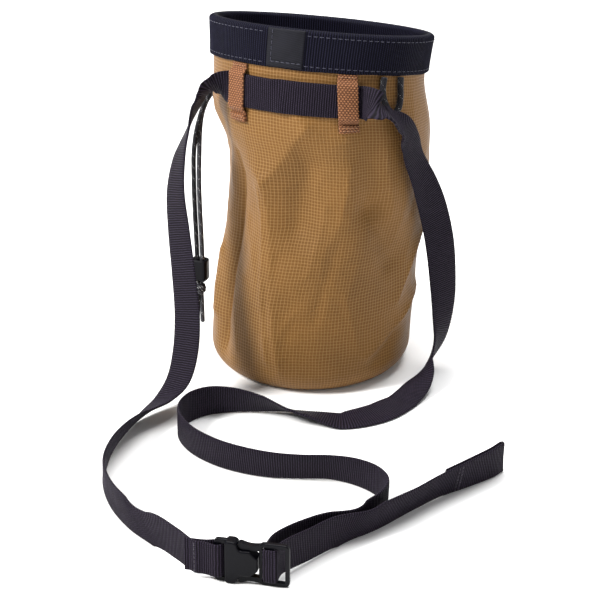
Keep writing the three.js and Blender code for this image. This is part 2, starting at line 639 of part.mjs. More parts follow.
// A smooth run through places, in steps of beltStep that shorten where the belt bends or twists
function smoothRun(places) {
  const curve = new THREE.CatmullRomCurve3(places.map((p) => p.point), false, 'centripetal');
  const edges = new THREE.CatmullRomCurve3(places.map((p) => p.edge), false, 'catmullrom', 0.5);
  curve.arcLengthDivisions = places.length * 20;
  const steps = Math.round(curve.getLength());
  const placeAt = (i) => {
    const t = curve.getUtoTmapping(i / steps);
    return { point: curve.getPoint(t), edge: edges.getPoint(t).normalize(), ahead: curve.getTangent(t) };
  };
  let before = placeAt(0);
  let effort = 0;
  const run = [before];
  for (let i = 1; i <= steps; i += 1) {
    const here = placeAt(i);
    const turned = here.edge.angleTo(before.edge) + here.ahead.angleTo(before.ahead);
    effort += here.point.distanceTo(before.point) / beltStep + turned / rad(beltBend);
    if (i === steps && effort < 0.4) run.pop();
    if (i === steps || effort >= 1) {
      run.push(here);
      effort = 0;
    }
    before = here;
  }
  return run;
}

function beltOnWall(turn) {
  const place = onWall(turn, beltDrop, fit + beltEase + beltThick / 2);
  return { point: place.point, edge: place.up, out: place.out };
}

// The whole belt from its sewn end to the folded end of its tail
function beltPlaces() {
  const layer = beltThick / 2 + fit / 2;
  const turnRadius = Math.hypot(femaleBar, plateThick) / 2 + fit + beltThick / 2;
  const sewn = [
    inBuckle(-sewnEnd, layer, 1),
    inBuckle(-sewnEnd * 0.7, layer, 1),
    inBuckle(-5, layer + 0.1, 1),
    inBuckle(-2.6, layer + 0.6, 1),
    ...arcInBuckle(femaleBar / 2, 0, turnRadius, 100, -100, 10, 1),
    inBuckle(-2.6, -layer - 0.6, 1),
    inBuckle(-5, -layer - 0.1, 1),
  ];
  const sewnOut = [inBuckle(-5, -layer - 0.1, 1), inBuckle(-sewnEnd * 0.62, -layer, 1)];
  const bend = fit + beltThick / 2;
  const across = [];
  for (let i = 0; i <= 18; i += 1) {
    across.push(beltOnWall(THREE.MathUtils.lerp(loopTurnLeft - 7, loopTurnRight + 7, i / 18)));
  }
  const worn = smoothRun([
    ...sewnOut,
    ...leftRoute.map(routePlace),
    ...across,
    ...rightRoute.map(routePlace),
    inBuckle(barStart + 0.2, 13, -1),
    inBuckle(barStart - bend, 6, -1),
    inBuckle(barStart - bend, 2.5, -1),
  ]);
  const lock = [
    ...arcInBuckle(barStart, -plateThick / 2, bend, 180, 270, 4, -1),
    ...arcInBuckle(barEnd, -plateThick / 2, bend, 270, 360, 4, -1),
  ];
  const tailStart = [inBuckle(barEnd + bend, 1.2, -1), inBuckle(barEnd + bend + 0.4, 6, -1)];
  const tail = smoothRun([...tailStart, ...tailRoute.map(routePlace)]);
  return [...sewn, ...worn.slice(1), ...lock, ...tail, ...foldedEnd(tail)];
}

// The tail's end turns back on itself behind the tail, as long as the pull loop
function foldedEnd(tail) {
  const last = tail[tail.length - 1];
  const ahead = last.point.clone().sub(tail[tail.length - 2].point).setZ(0).normalize();
  const behind = new THREE.Vector3(0, 0, 1).cross(ahead);
  const turnRadius = beltThick / 2 + fit / 2;
  const places = [];
  for (let i = 1; i <= 6; i += 1) {
    const a = (i / 6) * Math.PI;
    const point = last.point.clone()
      .addScaledVector(ahead, turnRadius * Math.sin(a))
      .addScaledVector(behind, turnRadius * (1 - Math.cos(a)));
    places.push({ point, edge: last.edge.clone() });
  }
  let left = pullLoop;
  for (let i = tail.length - 2; i > 0 && left > 0; i -= 1) {
    const run = tail[i].point.distanceTo(tail[i + 1].point);
    const share = Math.min(1, left / run);
    const along = tail[i].point.clone().sub(tail[i - 1].point).setZ(0).normalize();
    const side = new THREE.Vector3(0, 0, 1).cross(along);
    const point = tail[i + 1].point.clone().lerp(tail[i].point, share).addScaledVector(side, 2 * turnRadius);
    places.push({ point, edge: tail[i].edge.clone() });
    left -= run;
  }
  return places;
}

function aheadOf(places, i) {
  const before = places[Math.max(0, i - 1)].point;
  const after = places[Math.min(places.length - 1, i + 1)].point;
  return after.clone().sub(before).normalize();
}

// Cuts a run of places in two where it passes nearest to a point, with a narrow gap between the two ends
function cutRun(places, at) {
  let cut = 1;
  for (let i = 2; i < places.length - 1; i += 1) {
    if (places[i].point.distanceTo(at) < places[cut].point.distanceTo(at)) cut = i;
  }
  const facing = aheadOf(places, cut);
  const { point, edge } = places[cut];
  const end = { point: point.clone().addScaledVector(facing, -fit / 2), edge, facing };
  const start = { point: point.clone().addScaledVector(facing, fit / 2), edge, facing };
  return [[...places.slice(0, cut), end], [start, ...places.slice(cut + 1)]];
}

// The belt in five lengths: to the left loop, across the front, down the right, over the floor, and the tail
function beltLengths() {
  const lockMiddle = inBuckle((barStart + barEnd) / 2, -(plateThick + beltThick) / 2, 1).point;
  const cuts = [
    beltOnWall(loopTurnLeft).point,
    beltOnWall(loopTurnRight).point,
    routePlace(rightRoute[laidFrom]).point,
    lockMiddle,
  ];
  const lengths = [];
  let rest = beltPlaces();
  for (const at of cuts) {
    const [length, remains] = cutRun(rest, at);
    lengths.push(length);
    rest = remains;
  }
  return [...lengths, rest];
}

// A ribbon of webbing through its places, with no corner below the floor
function makeBelt(places) {
  const rings = places.map((place, i) => {
    const along = place.facing ? place.facing.clone() : aheadOf(places, i);
    const edge = place.edge.clone().addScaledVector(along, -place.edge.dot(along)).normalize();
    const face = along.cross(edge).normalize();
    const halfEdge = edge.clone().multiplyScalar(beltWidth / 2);
    const halfFace = face.clone().multiplyScalar(beltThick / 2);
    const centre = place.point.clone();
    centre.z = Math.max(centre.z, Math.abs(halfEdge.z) + Math.abs(halfFace.z) + floorTouch);
    return [[-1, -1], [1, -1], [1, 1], [-1, 1]].map(([e, f]) => centre.clone()
      .addScaledVector(halfEdge, e).addScaledVector(halfFace, f));
  });
  return skin(rings, false);
}

// A round cord along chosen points
function makeCord(points, diameter, steps) {
  const section = new THREE.Shape();
  for (let i = 0; i < cordSides; i += 1) {
    const a = (i / cordSides) * 2 * Math.PI;
    const x = Math.cos(a) * diameter / 2;
    const y = Math.sin(a) * diameter / 2;
    if (i === 0) section.moveTo(x, y);
    else section.lineTo(x, y);
  }
  const path = new THREE.CatmullRomCurve3(points, false, 'centripetal');
  return new THREE.ExtrudeGeometry(section, {
    steps,
    bevelEnabled: false,
    extrudePath: path,
    curveSegments: 1,
  });
}

function makeBrushLoop() {
  const off = 1.5 * fit + brushCord / 2;
  const top = bandHeight + 2 * fit;
  const middle = (brushTurnLeft + brushTurnRight) / 2;
  const half = (brushTurnRight - brushTurnLeft) / 2;
  const shape = [
    { side: -1.0, drop: 0 },
    { side: -1.1, drop: 0.35 },
    { side: -0.95, drop: 0.65 },
    { side: -0.5, drop: 0.9 },
    { side: 0.05, drop: 1.0 },
    { side: 0.6, drop: 0.87 },
    { side: 0.95, drop: 0.6 },
    { side: 1.0, drop: 0.3 },
    { side: 0.95, drop: 0 },
  ];
  const points = shape.map((p) => onWall(middle + half * p.side, top + brushDrop * p.drop, off).point);
  return makeCord(points, brushCord, 16);
}

function strandPoints(side) {
  const spread = drawCord / 2 + fit / 2;
  const start = wall(eyeletTurn, eyeletHeight / rimHeight);
  const exit = start.point.clone().addScaledVector(start.out, 2 * fit);
  exit.y += side * spread;
  const points = [exit, exit.clone().addScaledVector(start.out, drawCord)];
  drawcordRoute.forEach((row, i) => {
    const turned = smooth(2, 5, i) * Math.PI / 2;
    points.push(new THREE.Vector3(
      row.x - bodyRadius + side * spread * Math.sin(turned),
      row.y + side * spread * Math.cos(turned),
      row.z,
    ));
  });
  return points;
}

function drawcordMiddle() {
  const last = drawcordRoute[drawcordRoute.length - 1];
  return new THREE.Vector3(last.x - bodyRadius, last.y, last.z);
}

function makeLock() {
  const shape = roundedOutline(-lockWide / 2, lockWide / 2, lockDeep / 2, 2);
  const hole = new THREE.Path();
  const r = drawCord / 2 + fit;
  const reach = drawCord / 2 + fit / 2;
  hole.absarc(-reach, 0, r, Math.PI / 2, Math.PI * 1.5, false);
  hole.absarc(reach, 0, r, -Math.PI / 2, Math.PI / 2, false);
  shape.holes.push(hole);
  const edge = 0.6;
  const geometry = new THREE.ExtrudeGeometry(shape, {
    depth: lockLong - 2 * edge,
    bevelEnabled: true,
    bevelThickness: edge,
    bevelSize: edge,
    bevelOffset: -edge,
    bevelSegments: 1,
    curveSegments: 4,
  });
  const middle = drawcordMiddle();
  geometry.translate(middle.x, middle.y, lockBottom + edge);
  return geometry;
}

function makeKnot() {
  const middle = drawcordMiddle();
  const top = middle.z - fit;
  const ball = new THREE.SphereGeometry(knotHigh / 2, 12, 8);
  ball.rotateX(Math.PI / 2);
  ball.scale(1.0, 0.85, 1);
  ball.translate(middle.x, middle.y, top - knotHigh / 2);
  let body = solid(ball);
  const tailTop = top - knotHigh * 0.7;
  const tailLong = tailTop - knotHigh * 1.35;
  for (const side of [-1, 1]) {
    const tail = new THREE.CylinderGeometry(drawCord / 2, drawCord / 2, tailLong, 8);
    tail.rotateX(Math.PI / 2);
    tail.translate(0, 0, -tailLong / 2);
    tail.rotateY(side * rad(-4));
    tail.translate(middle.x + side * drawCord * 0.55, middle.y, tailTop);
    body = body.add(solid(tail));
  }
  return geometryOf(body);
}

function makeEyelet() {
  const place = wall(eyeletTurn, eyeletHeight / rimHeight);
  const hole = drawCord + 2.5 * fit;
  const profile = [
    new THREE.Vector2(hole, 0),
    new THREE.Vector2(eyeletRim, 0),
    new THREE.Vector2(eyeletRim, eyeletThick * 0.6),
    new THREE.Vector2(eyeletRim - 0.6, eyeletThick),
    new THREE.Vector2(hole + 0.4, eyeletThick),
    new THREE.Vector2(hole, eyeletThick * 0.6),
    new THREE.Vector2(hole, 0),
  ];
  const geometry = new THREE.LatheGeometry(profile, 14);
  const turnTo = new THREE.Quaternion().setFromUnitVectors(new THREE.Vector3(0, 1, 0), place.out);
  geometry.applyQuaternion(turnTo);
  const seat = place.point.addScaledVector(place.out, 1.5 * fit);
  geometry.translate(seat.x, seat.y, seat.z);
  return geometry;
}

// Materials
const cloth = new THREE.MeshStandardMaterial({ color: 0x946834, roughness: 0.6, metalness: 0 });
const baseCloth = new THREE.MeshStandardMaterial({ color: 0x7d5629, roughness: 0.7, metalness: 0 });
const rimWebbing = new THREE.MeshStandardMaterial({ color: 0x1b1c2c, roughness: 0.75, metalness: 0 });
const patchCloth = new THREE.MeshStandardMaterial({ color: 0x25262e, roughness: 0.6, metalness: 0 });
const loopWebbing = new THREE.MeshStandardMaterial({ color: 0x8c5f3a, roughness: 0.7, metalness: 0 });
const beltWebbing = new THREE.MeshStandardMaterial({ color: 0x2a2630, roughness: 0.7, metalness: 0 });
const moulded = new THREE.MeshStandardMaterial({ color: 0x12131b, roughness: 0.35, metalness: 0 });
const cordBraid = new THREE.MeshStandardMaterial({ color: 0x17171c, roughness: 0.7, metalness: 0 });

const bag = new THREE.Group();

function addPiece(name, geometry, material) {
  const mesh = new THREE.Mesh(geometry, material);
  mesh.name = name;
  bag.add(mesh);
  return mesh;
}

addPiece('shell', makeShell(), cloth);
addPiece('base_panel', makeBase(), baseCloth);
addPiece('rim_band', makeBand(), rimWebbing);
addPiece('rim_patch', makePatch(), patchCloth);
addPiece('belt_loop_left', makeBeltLoop(loopTurnLeft), loopWebbing);
addPiece('belt_loop_right', makeBeltLoop(loopTurnRight), loopWebbing);
const [beltLeft, beltFront, beltRight, beltLaid, beltTail] = beltLengths();
addPiece('belt_left', makeBelt(beltLeft), beltWebbing);
addPiece('belt_front', makeBelt(beltFront), beltWebbing);
addPiece('belt_right', makeBelt(beltRight), beltWebbing);
addPiece('belt_laid', makeBelt(beltLaid), beltWebbing);
addPiece('belt_tail', makeBelt(beltTail), beltWebbing);
addPiece('buckle_female', makeFemale().applyMatrix4(buckleFrame), moulded);
addPiece('buckle_male', makeMale().applyMatrix4(buckleFrame), moulded);
addPiece('brush_loop', makeBrushLoop(), cordBraid);
addPiece('cord_eyelet', makeEyelet(), moulded);
addPiece('drawcord_front', makeCord(strandPoints(-1), drawCord, 20), cordBraid);
addPiece('drawcord_back', makeCord(strandPoints(1), drawCord, 20), cordBraid);
addPiece('cord_lock', makeLock(), moulded);
addPiece('drawcord_knot', makeKnot(), cordBraid);

export default bag;
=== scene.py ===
"""A climbing chalk bag with its waist belt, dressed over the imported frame.
Sizes below are in millimetres, as in the part's source, and become metres where a mesh is made."""
import math

import bmesh
import bpy
import numpy as np
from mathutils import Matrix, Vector, noise


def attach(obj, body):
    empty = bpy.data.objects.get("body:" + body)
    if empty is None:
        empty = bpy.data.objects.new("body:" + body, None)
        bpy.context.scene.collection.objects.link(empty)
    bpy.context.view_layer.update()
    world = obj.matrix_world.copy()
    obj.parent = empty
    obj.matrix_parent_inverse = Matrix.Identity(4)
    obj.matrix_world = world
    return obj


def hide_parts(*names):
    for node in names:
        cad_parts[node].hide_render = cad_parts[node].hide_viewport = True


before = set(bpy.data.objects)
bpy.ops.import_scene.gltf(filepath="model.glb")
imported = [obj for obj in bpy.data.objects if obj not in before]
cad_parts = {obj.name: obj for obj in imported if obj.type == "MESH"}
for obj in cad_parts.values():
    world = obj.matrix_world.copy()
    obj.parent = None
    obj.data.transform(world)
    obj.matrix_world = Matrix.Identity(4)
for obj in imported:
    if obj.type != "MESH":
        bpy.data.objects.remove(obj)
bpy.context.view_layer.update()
scene = bpy.context.scene

MM = 0.001

# Camera: azimuth 18 degrees, elevation 25 degrees, 1.5 m from its target
camera_target = (-0.0082, 0.0091, 0.0240)
camera_place = (0.4119, -1.2838, 0.6579)
camera_lens = 180

# Sizes repeated from the part's source
body_radius = 49
rim_height = 170
cloth_wall = 1.4
bottom_round = 11
base_seam = 4.5
base_thick = 1.6
rim_pitch = 15.5
band_height = 18.5
band_thick = 1.2
patch_turn = -3.5
patch_width = 18.5
patch_thick = 0.7
loop_width = 10
loop_thick = 1.0
loop_hem = 3.2
loop_ramp = 1.8
loop_turn_left = -31.5
loop_turn_right = 30
loop_slack = 4
fit = 0.3
belt_width = 16
belt_thick = 1.4
belt_ease = 0.45
laid_reach = 100
pull_loop = 37
sewn_end = 13.5
buckle_width = 20.6
buckle_heading = 5
female_bar = 2.4
female_slot = 2.6
female_body = 14.6
male_slot = 2.0
centre_bar = 3.4
yoke = 1.4
plate_thick = 2.4
brush_cord = 3.0
brush_drop = 16.5
brush_turn_left = 50.5
brush_turn_right = 62
draw_cord = 2.4
knot_high = 7
eyelet_turn = -90
eyelet_drop = 20.5
floor_touch = 0.1

# Weave pitches
ripstop_pitch = 1.6
rim_rib = 1.25
belt_rib = 1.13

# Cross-sections: at, across, back, wide, deep, lean
sections = np.array([
    (0.00, 0.00, 0.00, 1.00, 1.00, 0.00),
    (0.16, 0.02, 0.03, 1.00, 1.00, 0.00),
    (0.28, 0.04, 0.08, 0.99, 0.99, 0.00),
    (0.40, 0.09, 0.13, 0.98, 0.98, 0.02),
    (0.53, 0.13, 0.17, 0.99, 0.98, 0.08),
    (0.65, 0.12, 0.18, 1.01, 0.97, 0.25),
    (0.75, 0.06, 0.17, 1.07, 0.95, 0.55),
    (0.87, 0.03, 0.18, 1.05, 0.91, 0.90),
    (1.00, 0.03, 0.27, 1.09, 0.88, 1.00),
])
ACROSS, BACK, WIDE, DEEP, LEAN = 1, 2, 3, 4, 5

# Folds of the part's source: from turn, high, to turn, low, half width, rise, sharp
main_folds = [
    (-21, 0.62, 0, 0.07, 0.20, 0.070, True),
    (8, 0.76, -20, 0.61, 0.14, 0.045, True),
    (6, 0.64, 2, 0.50, 0.30, -0.075, False),
    (-43, 0.60, -45, 0.06, 0.13, -0.055, False),
    (-62, 0.34, -58, 0.18, 0.08, 0.035, False),
    (-58, 0.72, -70, 0.60, 0.16, -0.050, False),
    (-10, 0.85, 8, 0.76, 0.10, 0.020, True),
    (41, 0.76, 42, 0.55, 0.16, -0.060, False),
    (44, 0.54, 62, 0.38, 0.15, -0.060, False),
    (96, 0.46, 70, 0.25, 0.12, 0.050, True),
    (98, 0.24, 50, 0.11, 0.12, 0.050, True),
    (70, 0.15, 58, 0.07, 0.12, -0.040, False),
    (150, 0.66, 215, 0.60, 0.14, -0.060, False),
    (130, 0.50, 190, 0.44, 0.15, -0.055, False),
    (200, 0.40, 232, 0.16, 0.14, 0.045, True),
    (148, 0.34, 160, 0.08, 0.16, -0.045, False),
]

# Smaller creases that only the dressed cloth has, in the same terms
creases = [
    (-44, 0.66, -46, 0.08, 0.055, -0.045, True),
    (4, 0.64, -2, 0.50, 0.14, -0.028, False),
    (-24, 0.60, -8, 0.10, 0.045, 0.022, True),
    (-38, 0.30, -30, 0.10, 0.06, 0.014, True),
    (-30, 0.50, -34, 0.34, 0.07, -0.014, False),
    (-8, 0.40, -12, 0.20, 0.07, -0.012, False),
    (16, 0.56, 10, 0.36, 0.08, 0.014, True),
    (24, 0.44, 18, 0.24, 0.07, -0.012, False),
    (30, 0.66, 24, 0.50, 0.07, 0.016, True),
    (52, 0.70, 58, 0.52, 0.06, 0.014, True),
    (34, 0.30, 44, 0.14, 0.07, 0.014, True),
    (80, 0.60, 74, 0.50, 0.07, -0.016, False),
    (-76, 0.50, -72, 0.30, 0.08, -0.014, False),
    (-90, 0.72, -84, 0.56, 0.07, 0.014, True),
    (110, 0.70, 124, 0.56, 0.08, 0.016, True),
    (-120, 0.60, -100, 0.50, 0.08, -0.018, False),
    (-140, 0.30, -124, 0.16, 0.08, 0.016, True),
    (170, 0.24, 186, 0.12, 0.08, 0.016, True),
]

# The belt's way from the sewn end to the left loop: turn, out, rise, edge x, y, z
left_route = [
    (2.5, 1.69, 0.067, 0.0, 0.0, 1.0),
    (-1.5, 1.58, 0.058, 0.0, 0.0, 1.0),
    (-6.5, 1.475, 0, 0.0, -0.05, 1.0),
    (-11.6, 1.345, 0, 0.0, -0.1, 1.0),
    (-16.0, 1.20, 0, 0.1, -0.2, 0.95),
    (-19.8, 1.03, 0, 0.25, -0.3, 0.9),
    (-23.6, 0.83, 0, 0.4, -0.5, 0.72),
    (-26.8, 0.64, 0.04, 0.5, -0.65, 0.5),
    (-27.6, 0.49, 0.06, 0.75, -0.6, 0.3),
    (-28.2, 0.39, 0.10, 0.86, -0.5, 0.1),
    (-30.0, 0.32, 0.17, 0.92, -0.4, 0.05),
    (-33.0, 0.27, 0.28, 0.93, -0.35, 0.1),
    (-38.3, 0.24, 0.41, 0.9, -0.4, 0.2),
    (-44.5, 0.22, 0.54, 0.84, -0.45, 0.25),
    (-50.0, 0.205, 0.66, 0.74, -0.55, 0.35),
    (-54.6, 0.165, 0.76, 0.6, -0.6, 0.5),
    (-58.3, 0.11, 0.84, 0.4, -0.7, 0.6),
    (-58.6, 0.069, 0.912, 0.17, -0.82, 0.55),
    (-58.1, 0.051, 0.938, 0.21, -0.82, 0.53),
    (-57.6, 0.033, 0.958, 0.18, -0.76, 0.63),
    (-57.0, 0.012, 0.975, 0.18, -0.64, 0.75),
    (-55.7, -0.024, 0.985, 0.16, -0.52, 0.83),
]

# From the right loop round the floor to the back of the ladder lock
right_route = [
    (50.8, 0.014, 0.995, -0.1, 0.45, 0.88),
    (51.7, 0.062, 0.994, -0.17, 0.86, 0.48),
    (54.5, 0.078, 0.981, -0.16, 0.98, -0.1),
    (57.0, 0.092, 0.967, -0.18, 0.95, -0.25),
    (61.8, 0.089, 0.936, -0.06, 0.95, -0.3),
    (68.3, 0.083, 0.897, 0.11, 0.94, -0.31),
    (74.4, 0.077, 0.838, 0.2, 0.94, -0.28),
    (78.2, 0.078, 0.775, 0.25, 0.93, -0.25),
    (84.4, 0.11, 0.67, 0.45, 0.88, -0.15),
    (89.4, 0.136, 0.57, 0.6, 0.78, -0.1),
    (92.8, 0.16, 0.455, 0.66, 0.74, -0.05),
    (95.5, 0.173, 0.325, 0.6, 0.8, -0.05),
    (96.0, 0.178, 0.215, 0.45, 0.88, -0.1),
    (93.5, 0.17, 0.12, 0.15, 0.95, -0.3),
    (84.5, 0.145, 0.05, -0.28, 0.87, -0.39),
    (73.3, 0.165, 0.015, -0.5, 0.85, -0.1),
    (58.7, 0.21, 0, -0.65, 0.75, 0),
    (44.0, 0.27, 0, -0.5, 0.85, 0.1),
    (31.0, 0.285, 0, -0.3, 0.94, 0.05),
    (20.0, 0.25, 0, -0.2, 0.92, -0.25),
    (10.0, 0.235, 0, -0.1, 0.85, -0.5),
    (0.5, 0.24, 0, 0, 0.6, -0.8),
    (-10.0, 0.275, 0, 0, 0.3, -0.95),
    (-17.2, 0.35, 0, 0, 0.1, -1),
    (-19.4, 0.46, 0, 0, 0, -1),
    (-17.0, 0.595, 0, 0, 0, -1),
    (-10.2, 0.715, 0, 0, 0.1, -1),
    (-2.8, 0.79, 0, 0, 0.15, -1),
    (3.6, 0.83, 0, -0.05, 0.2, -1),
    (9.9, 0.855, 0, -0.1, 0.25, -1),
    (15.7, 0.86, 0, -0.1, 0.3, -0.95),
    (21.6, 0.868, 0, -0.1, 0.3, -0.95),
    (26.4, 0.93, 0, -0.1, 0.2, -1),
    (29.4, 1.03, 0, -0.1, 0.1, -1),
    (30.1, 1.14, 0, -0.1, 0.1, -1),
    (28.6, 1.25, 0, 0, 0.1, -1),
    (25.2, 1.345, 0, 0, 0.1, -1),
    (20.6, 1.43, 0.053, 0, 0.05, -1),
    (16.5, 1.53, 0.06, 0, 0, -1),
]

# From the ladder lock to the tail's folded end
tail_route = [
    (17.6, 1.60, 0.06, 0, 0, -1),
    (21.8, 1.46, 0.053, 0, 0.1, -1),
    (27.0, 1.36, 0, -0.1, 0.3, -0.95),
    (33.0, 1.24, 0, -0.15, 0.45, -0.88),
    (39.2, 1.145, 0, -0.15, 0.35, -0.92),
    (45.2, 1.10, 0, -0.1, 0.2, -0.97),
    (50.6, 1.07, 0, -0.05, 0.1, -1),
    (52.9, 1.05, 0, -0.05, 0.1, -1),
]

# The drawcord from the eyelet to the knot: beyond the body's left side, beside the origin, height
drawcord_route = [
    (-5.6, 8.0, 128.0),
    (-7.2, 6.4, 124.6),
    (-8.6, 4.2, 118.8),
    (-9.6, 2.4, 111.0),
    (-10.2, 1.4, 100.0),
    (-10.2, 0.6, 86.0),
    (-9.7, 0.0, 70.0),
    (-9.0, -0.5, 56.0),
    (-8.7, -0.6, 46.0),
    (-8.6, -0.6, 38.0),
    (-8.6, -0.6, 31.5),
]

# The brush loop's shape: share of its half width, share of its drop
brush_shape = [
    (-1.0, 0), (-1.1, 0.35), (-0.95, 0.65), (-0.5, 0.9), (0.05, 1.0),
    (0.6, 0.87), (0.95, 0.6), (1.0, 0.3), (0.95, 0),
]

eyelet_height = rim_height - band_height - eyelet_drop
belt_drop = band_height + loop_slack + belt_width / 2
base_radius = body_radius - bottom_round - base_seam
band_seat = 1.5 * fit
band_stand = band_seat + band_thick
pitch_cos = math.cos(math.radians(rim_pitch))
body_start = female_bar + female_slot
body_end = body_start + female_body
yoke_start = body_end + fit
inner_slot = yoke_start + yoke
bar_start = inner_slot + male_slot
bar_end = bar_start + centre_bar
buckle_start = np.array((0.29 * laid_reach, -(body_radius + 1.757 * laid_reach),
                         buckle_width / 2 + floor_touch))


def rad(degrees):
    return np.radians(degrees)


def smooth(low, high, value):
    share = np.clip((np.asarray(value, float) - low) / (high - low), 0, 1)
    return share * share * (3 - 2 * share)


def unit(vectors):
    vectors = np.asarray(vectors, float)
    return vectors / np.linalg.norm(vectors, axis=-1, keepdims=True)


def run_length(points):
    """Distance along a row of points."""
    return np.concatenate([[0], np.cumsum(np.linalg.norm(np.diff(points, axis=0), axis=1))])


def spread(u, v):
    """A grid of weave places from two sets of lengths."""
    return np.stack(np.broadcast_arrays(u, v), -1)


def column(name, at):
    """Catmull-Rom value of one column of the sections."""
    places = sections[:, 0]
    values = sections[:, name]
    last = len(sections) - 1
    k = np.clip(np.searchsorted(places, at, side="left") - 1, 0, last - 1)
    span = places[k + 1] - places[k]
    u = (at - places[k]) / span

    def slope(i):
        after = np.clip(i + 1, 0, last)
        before = np.clip(i - 1, 0, last)
        return (values[after] - values[before]) / (places[after] - places[before]) * span

    u2 = u * u
    u3 = u2 * u
    return ((2 * u3 - 3 * u2 + 1) * values[k] + (u3 - 2 * u2 + u) * slope(k)
            + (3 * u2 - 2 * u3) * values[k + 1] + (u3 - u2) * slope(k + 1))


def fold_rise(turn, at, folds):
    """How far the folds lift the cloth."""
    rise = np.zeros(np.broadcast(turn, at).shape)
    for from_turn, high, to_turn, low, half, height, sharp in folds:
        middle = (from_turn + to_turn) / 2
        near = np.mod(turn - middle + 180, 360) - 180 + middle
        way_x = (rad(near) - rad(from_turn)) * body_radius
        way_y = (at - high) * rim_height
        along_x = rad(to_turn - from_turn) * body_radius
        along_y = (low - high) * rim_height
        share = np.clip((way_x * along_x + way_y * along_y) / (along_x ** 2 + along_y ** 2), 0, 1)
        away = np.hypot(way_x - along_x * share, way_y - along_y * share) / (half * body_radius)
        profile = np.exp(-1.2 * away) if sharp else np.exp(-away * away)
        rise = rise + height * body_radius * profile
    above = smooth(0, 2 * bottom_round, at * rim_height)
    below = smooth(band_height, band_height + loop_slack + belt_width, (1 - at) * rim_height)
    return rise * above * below


def cloth_point(turn, at, folds=main_folds):
    """A point of the cloth's outer surface, at a turn in degrees and a share of the rim's height."""
    turn = np.asarray(turn, float)
    at = np.asarray(at, float)
    bulge = fold_rise(turn, at, folds)
    x = np.sin(rad(turn)) * (column(WIDE, at) * body_radius + bulge)
    y = -np.cos(rad(turn)) * (column(DEEP, at) * body_radius + bulge)
    pitch = rad(rim_pitch) * column(LEAN, at)
    return np.stack([
        column(ACROSS, at) * body_radius + x,
        column(BACK, at) * body_radius + y * np.cos(pitch),
        at * rim_height - y * np.sin(pitch),
    ], -1)


def wall(turn, at, folds=main_folds):
    """The same point with its outward normal and its way up the wall."""
    step = 0.5
    rise = step / rim_height
    up = unit(cloth_point(turn, at + rise, folds) - cloth_point(turn, at - rise, folds))
    round_it = unit(cloth_point(turn + step, at, folds) - cloth_point(turn - step, at, folds))
    return cloth_point(turn, at, folds), unit(np.cross(round_it, up)), up


def on_wall(turn, drop, off):
    """A point off the cloth: drop down from the mouth's edge, off outwards."""
    turn, drop, off = np.broadcast_arrays(*(np.asarray(v, float) for v in (turn, drop, off)))
    point, out, up = wall(turn, 1 - drop * pitch_cos / rim_height)
    return point + out * off[..., None], out, up


class Curve:
    """Catmull-Rom through points, centripetal or uniform, with a parameter from 0 to 1."""

    def __init__(self, points, centripetal=True):
        self.points = np.asarray(points, float)
        self.centripetal = centripetal

    def at(self, t):
        p = self.points
        last = len(p) - 1
        place = np.clip(np.asarray(t, float), 0, 1) * last
        k = np.minimum(place.astype(int), last - 1)
        w = (place - k)[:, None]
        p1 = p[k]
        p2 = p[k + 1]
        p0 = np.where((k > 0)[:, None], p[np.maximum(k - 1, 0)], 2 * p[0] - p[1])
        p3 = np.where((k < last - 1)[:, None], p[np.minimum(k + 2, last)],
                      2 * p[last] - p[last - 1])
        if self.centripetal:
            d0, d1, d2 = (np.sqrt(np.maximum(np.linalg.norm(b - a, axis=1), 1e-6))[:, None]
                          for a, b in ((p0, p1), (p1, p2), (p2, p3)))
            m1 = ((p1 - p0) / d0 - (p2 - p0) / (d0 + d1) + (p2 - p1) / d1) * d1
            m2 = ((p2 - p1) / d1 - (p3 - p1) / (d1 + d2) + (p3 - p2) / d2) * d1
        else:
            m1 = 0.5 * (p2 - p0)
            m2 = 0.5 * (p3 - p1)
        return (p1 + m1 * w + (-3 * p1 + 3 * p2 - 2 * m1 - m2) * w ** 2
                + (2 * p1 - 2 * p2 + m1 + m2) * w ** 3)

    def even(self, step):
        """Parameters at even distances along the curve, and the curve's length."""
        t = np.linspace(0, 1, len(self.points) * 40)
        run = run_length(self.at(t))
        count = max(2, int(round(run[-1] / step)) + 1)
        return np.interp(np.linspace(0, run[-1], count), run, t), run[-1]


def aimed(name, data, place, target):
    """A camera or light at its place, turned to its target."""
    made = bpy.data.objects.new(name, data)
    made.location = place
    made.rotation_euler = (Vector(target) - Vector(place)).to_track_quat("-Z", "Y").to_euler()
    scene.collection.objects.link(made)
    return made


camera_data = bpy.data.cameras.new("photo_camera")
camera_data.lens = camera_lens
camera_data.sensor_width = 36
camera_data.clip_start = 0.05
camera_data.clip_end = 20
scene.camera = aimed("photo_camera", camera_data, camera_place, camera_target)


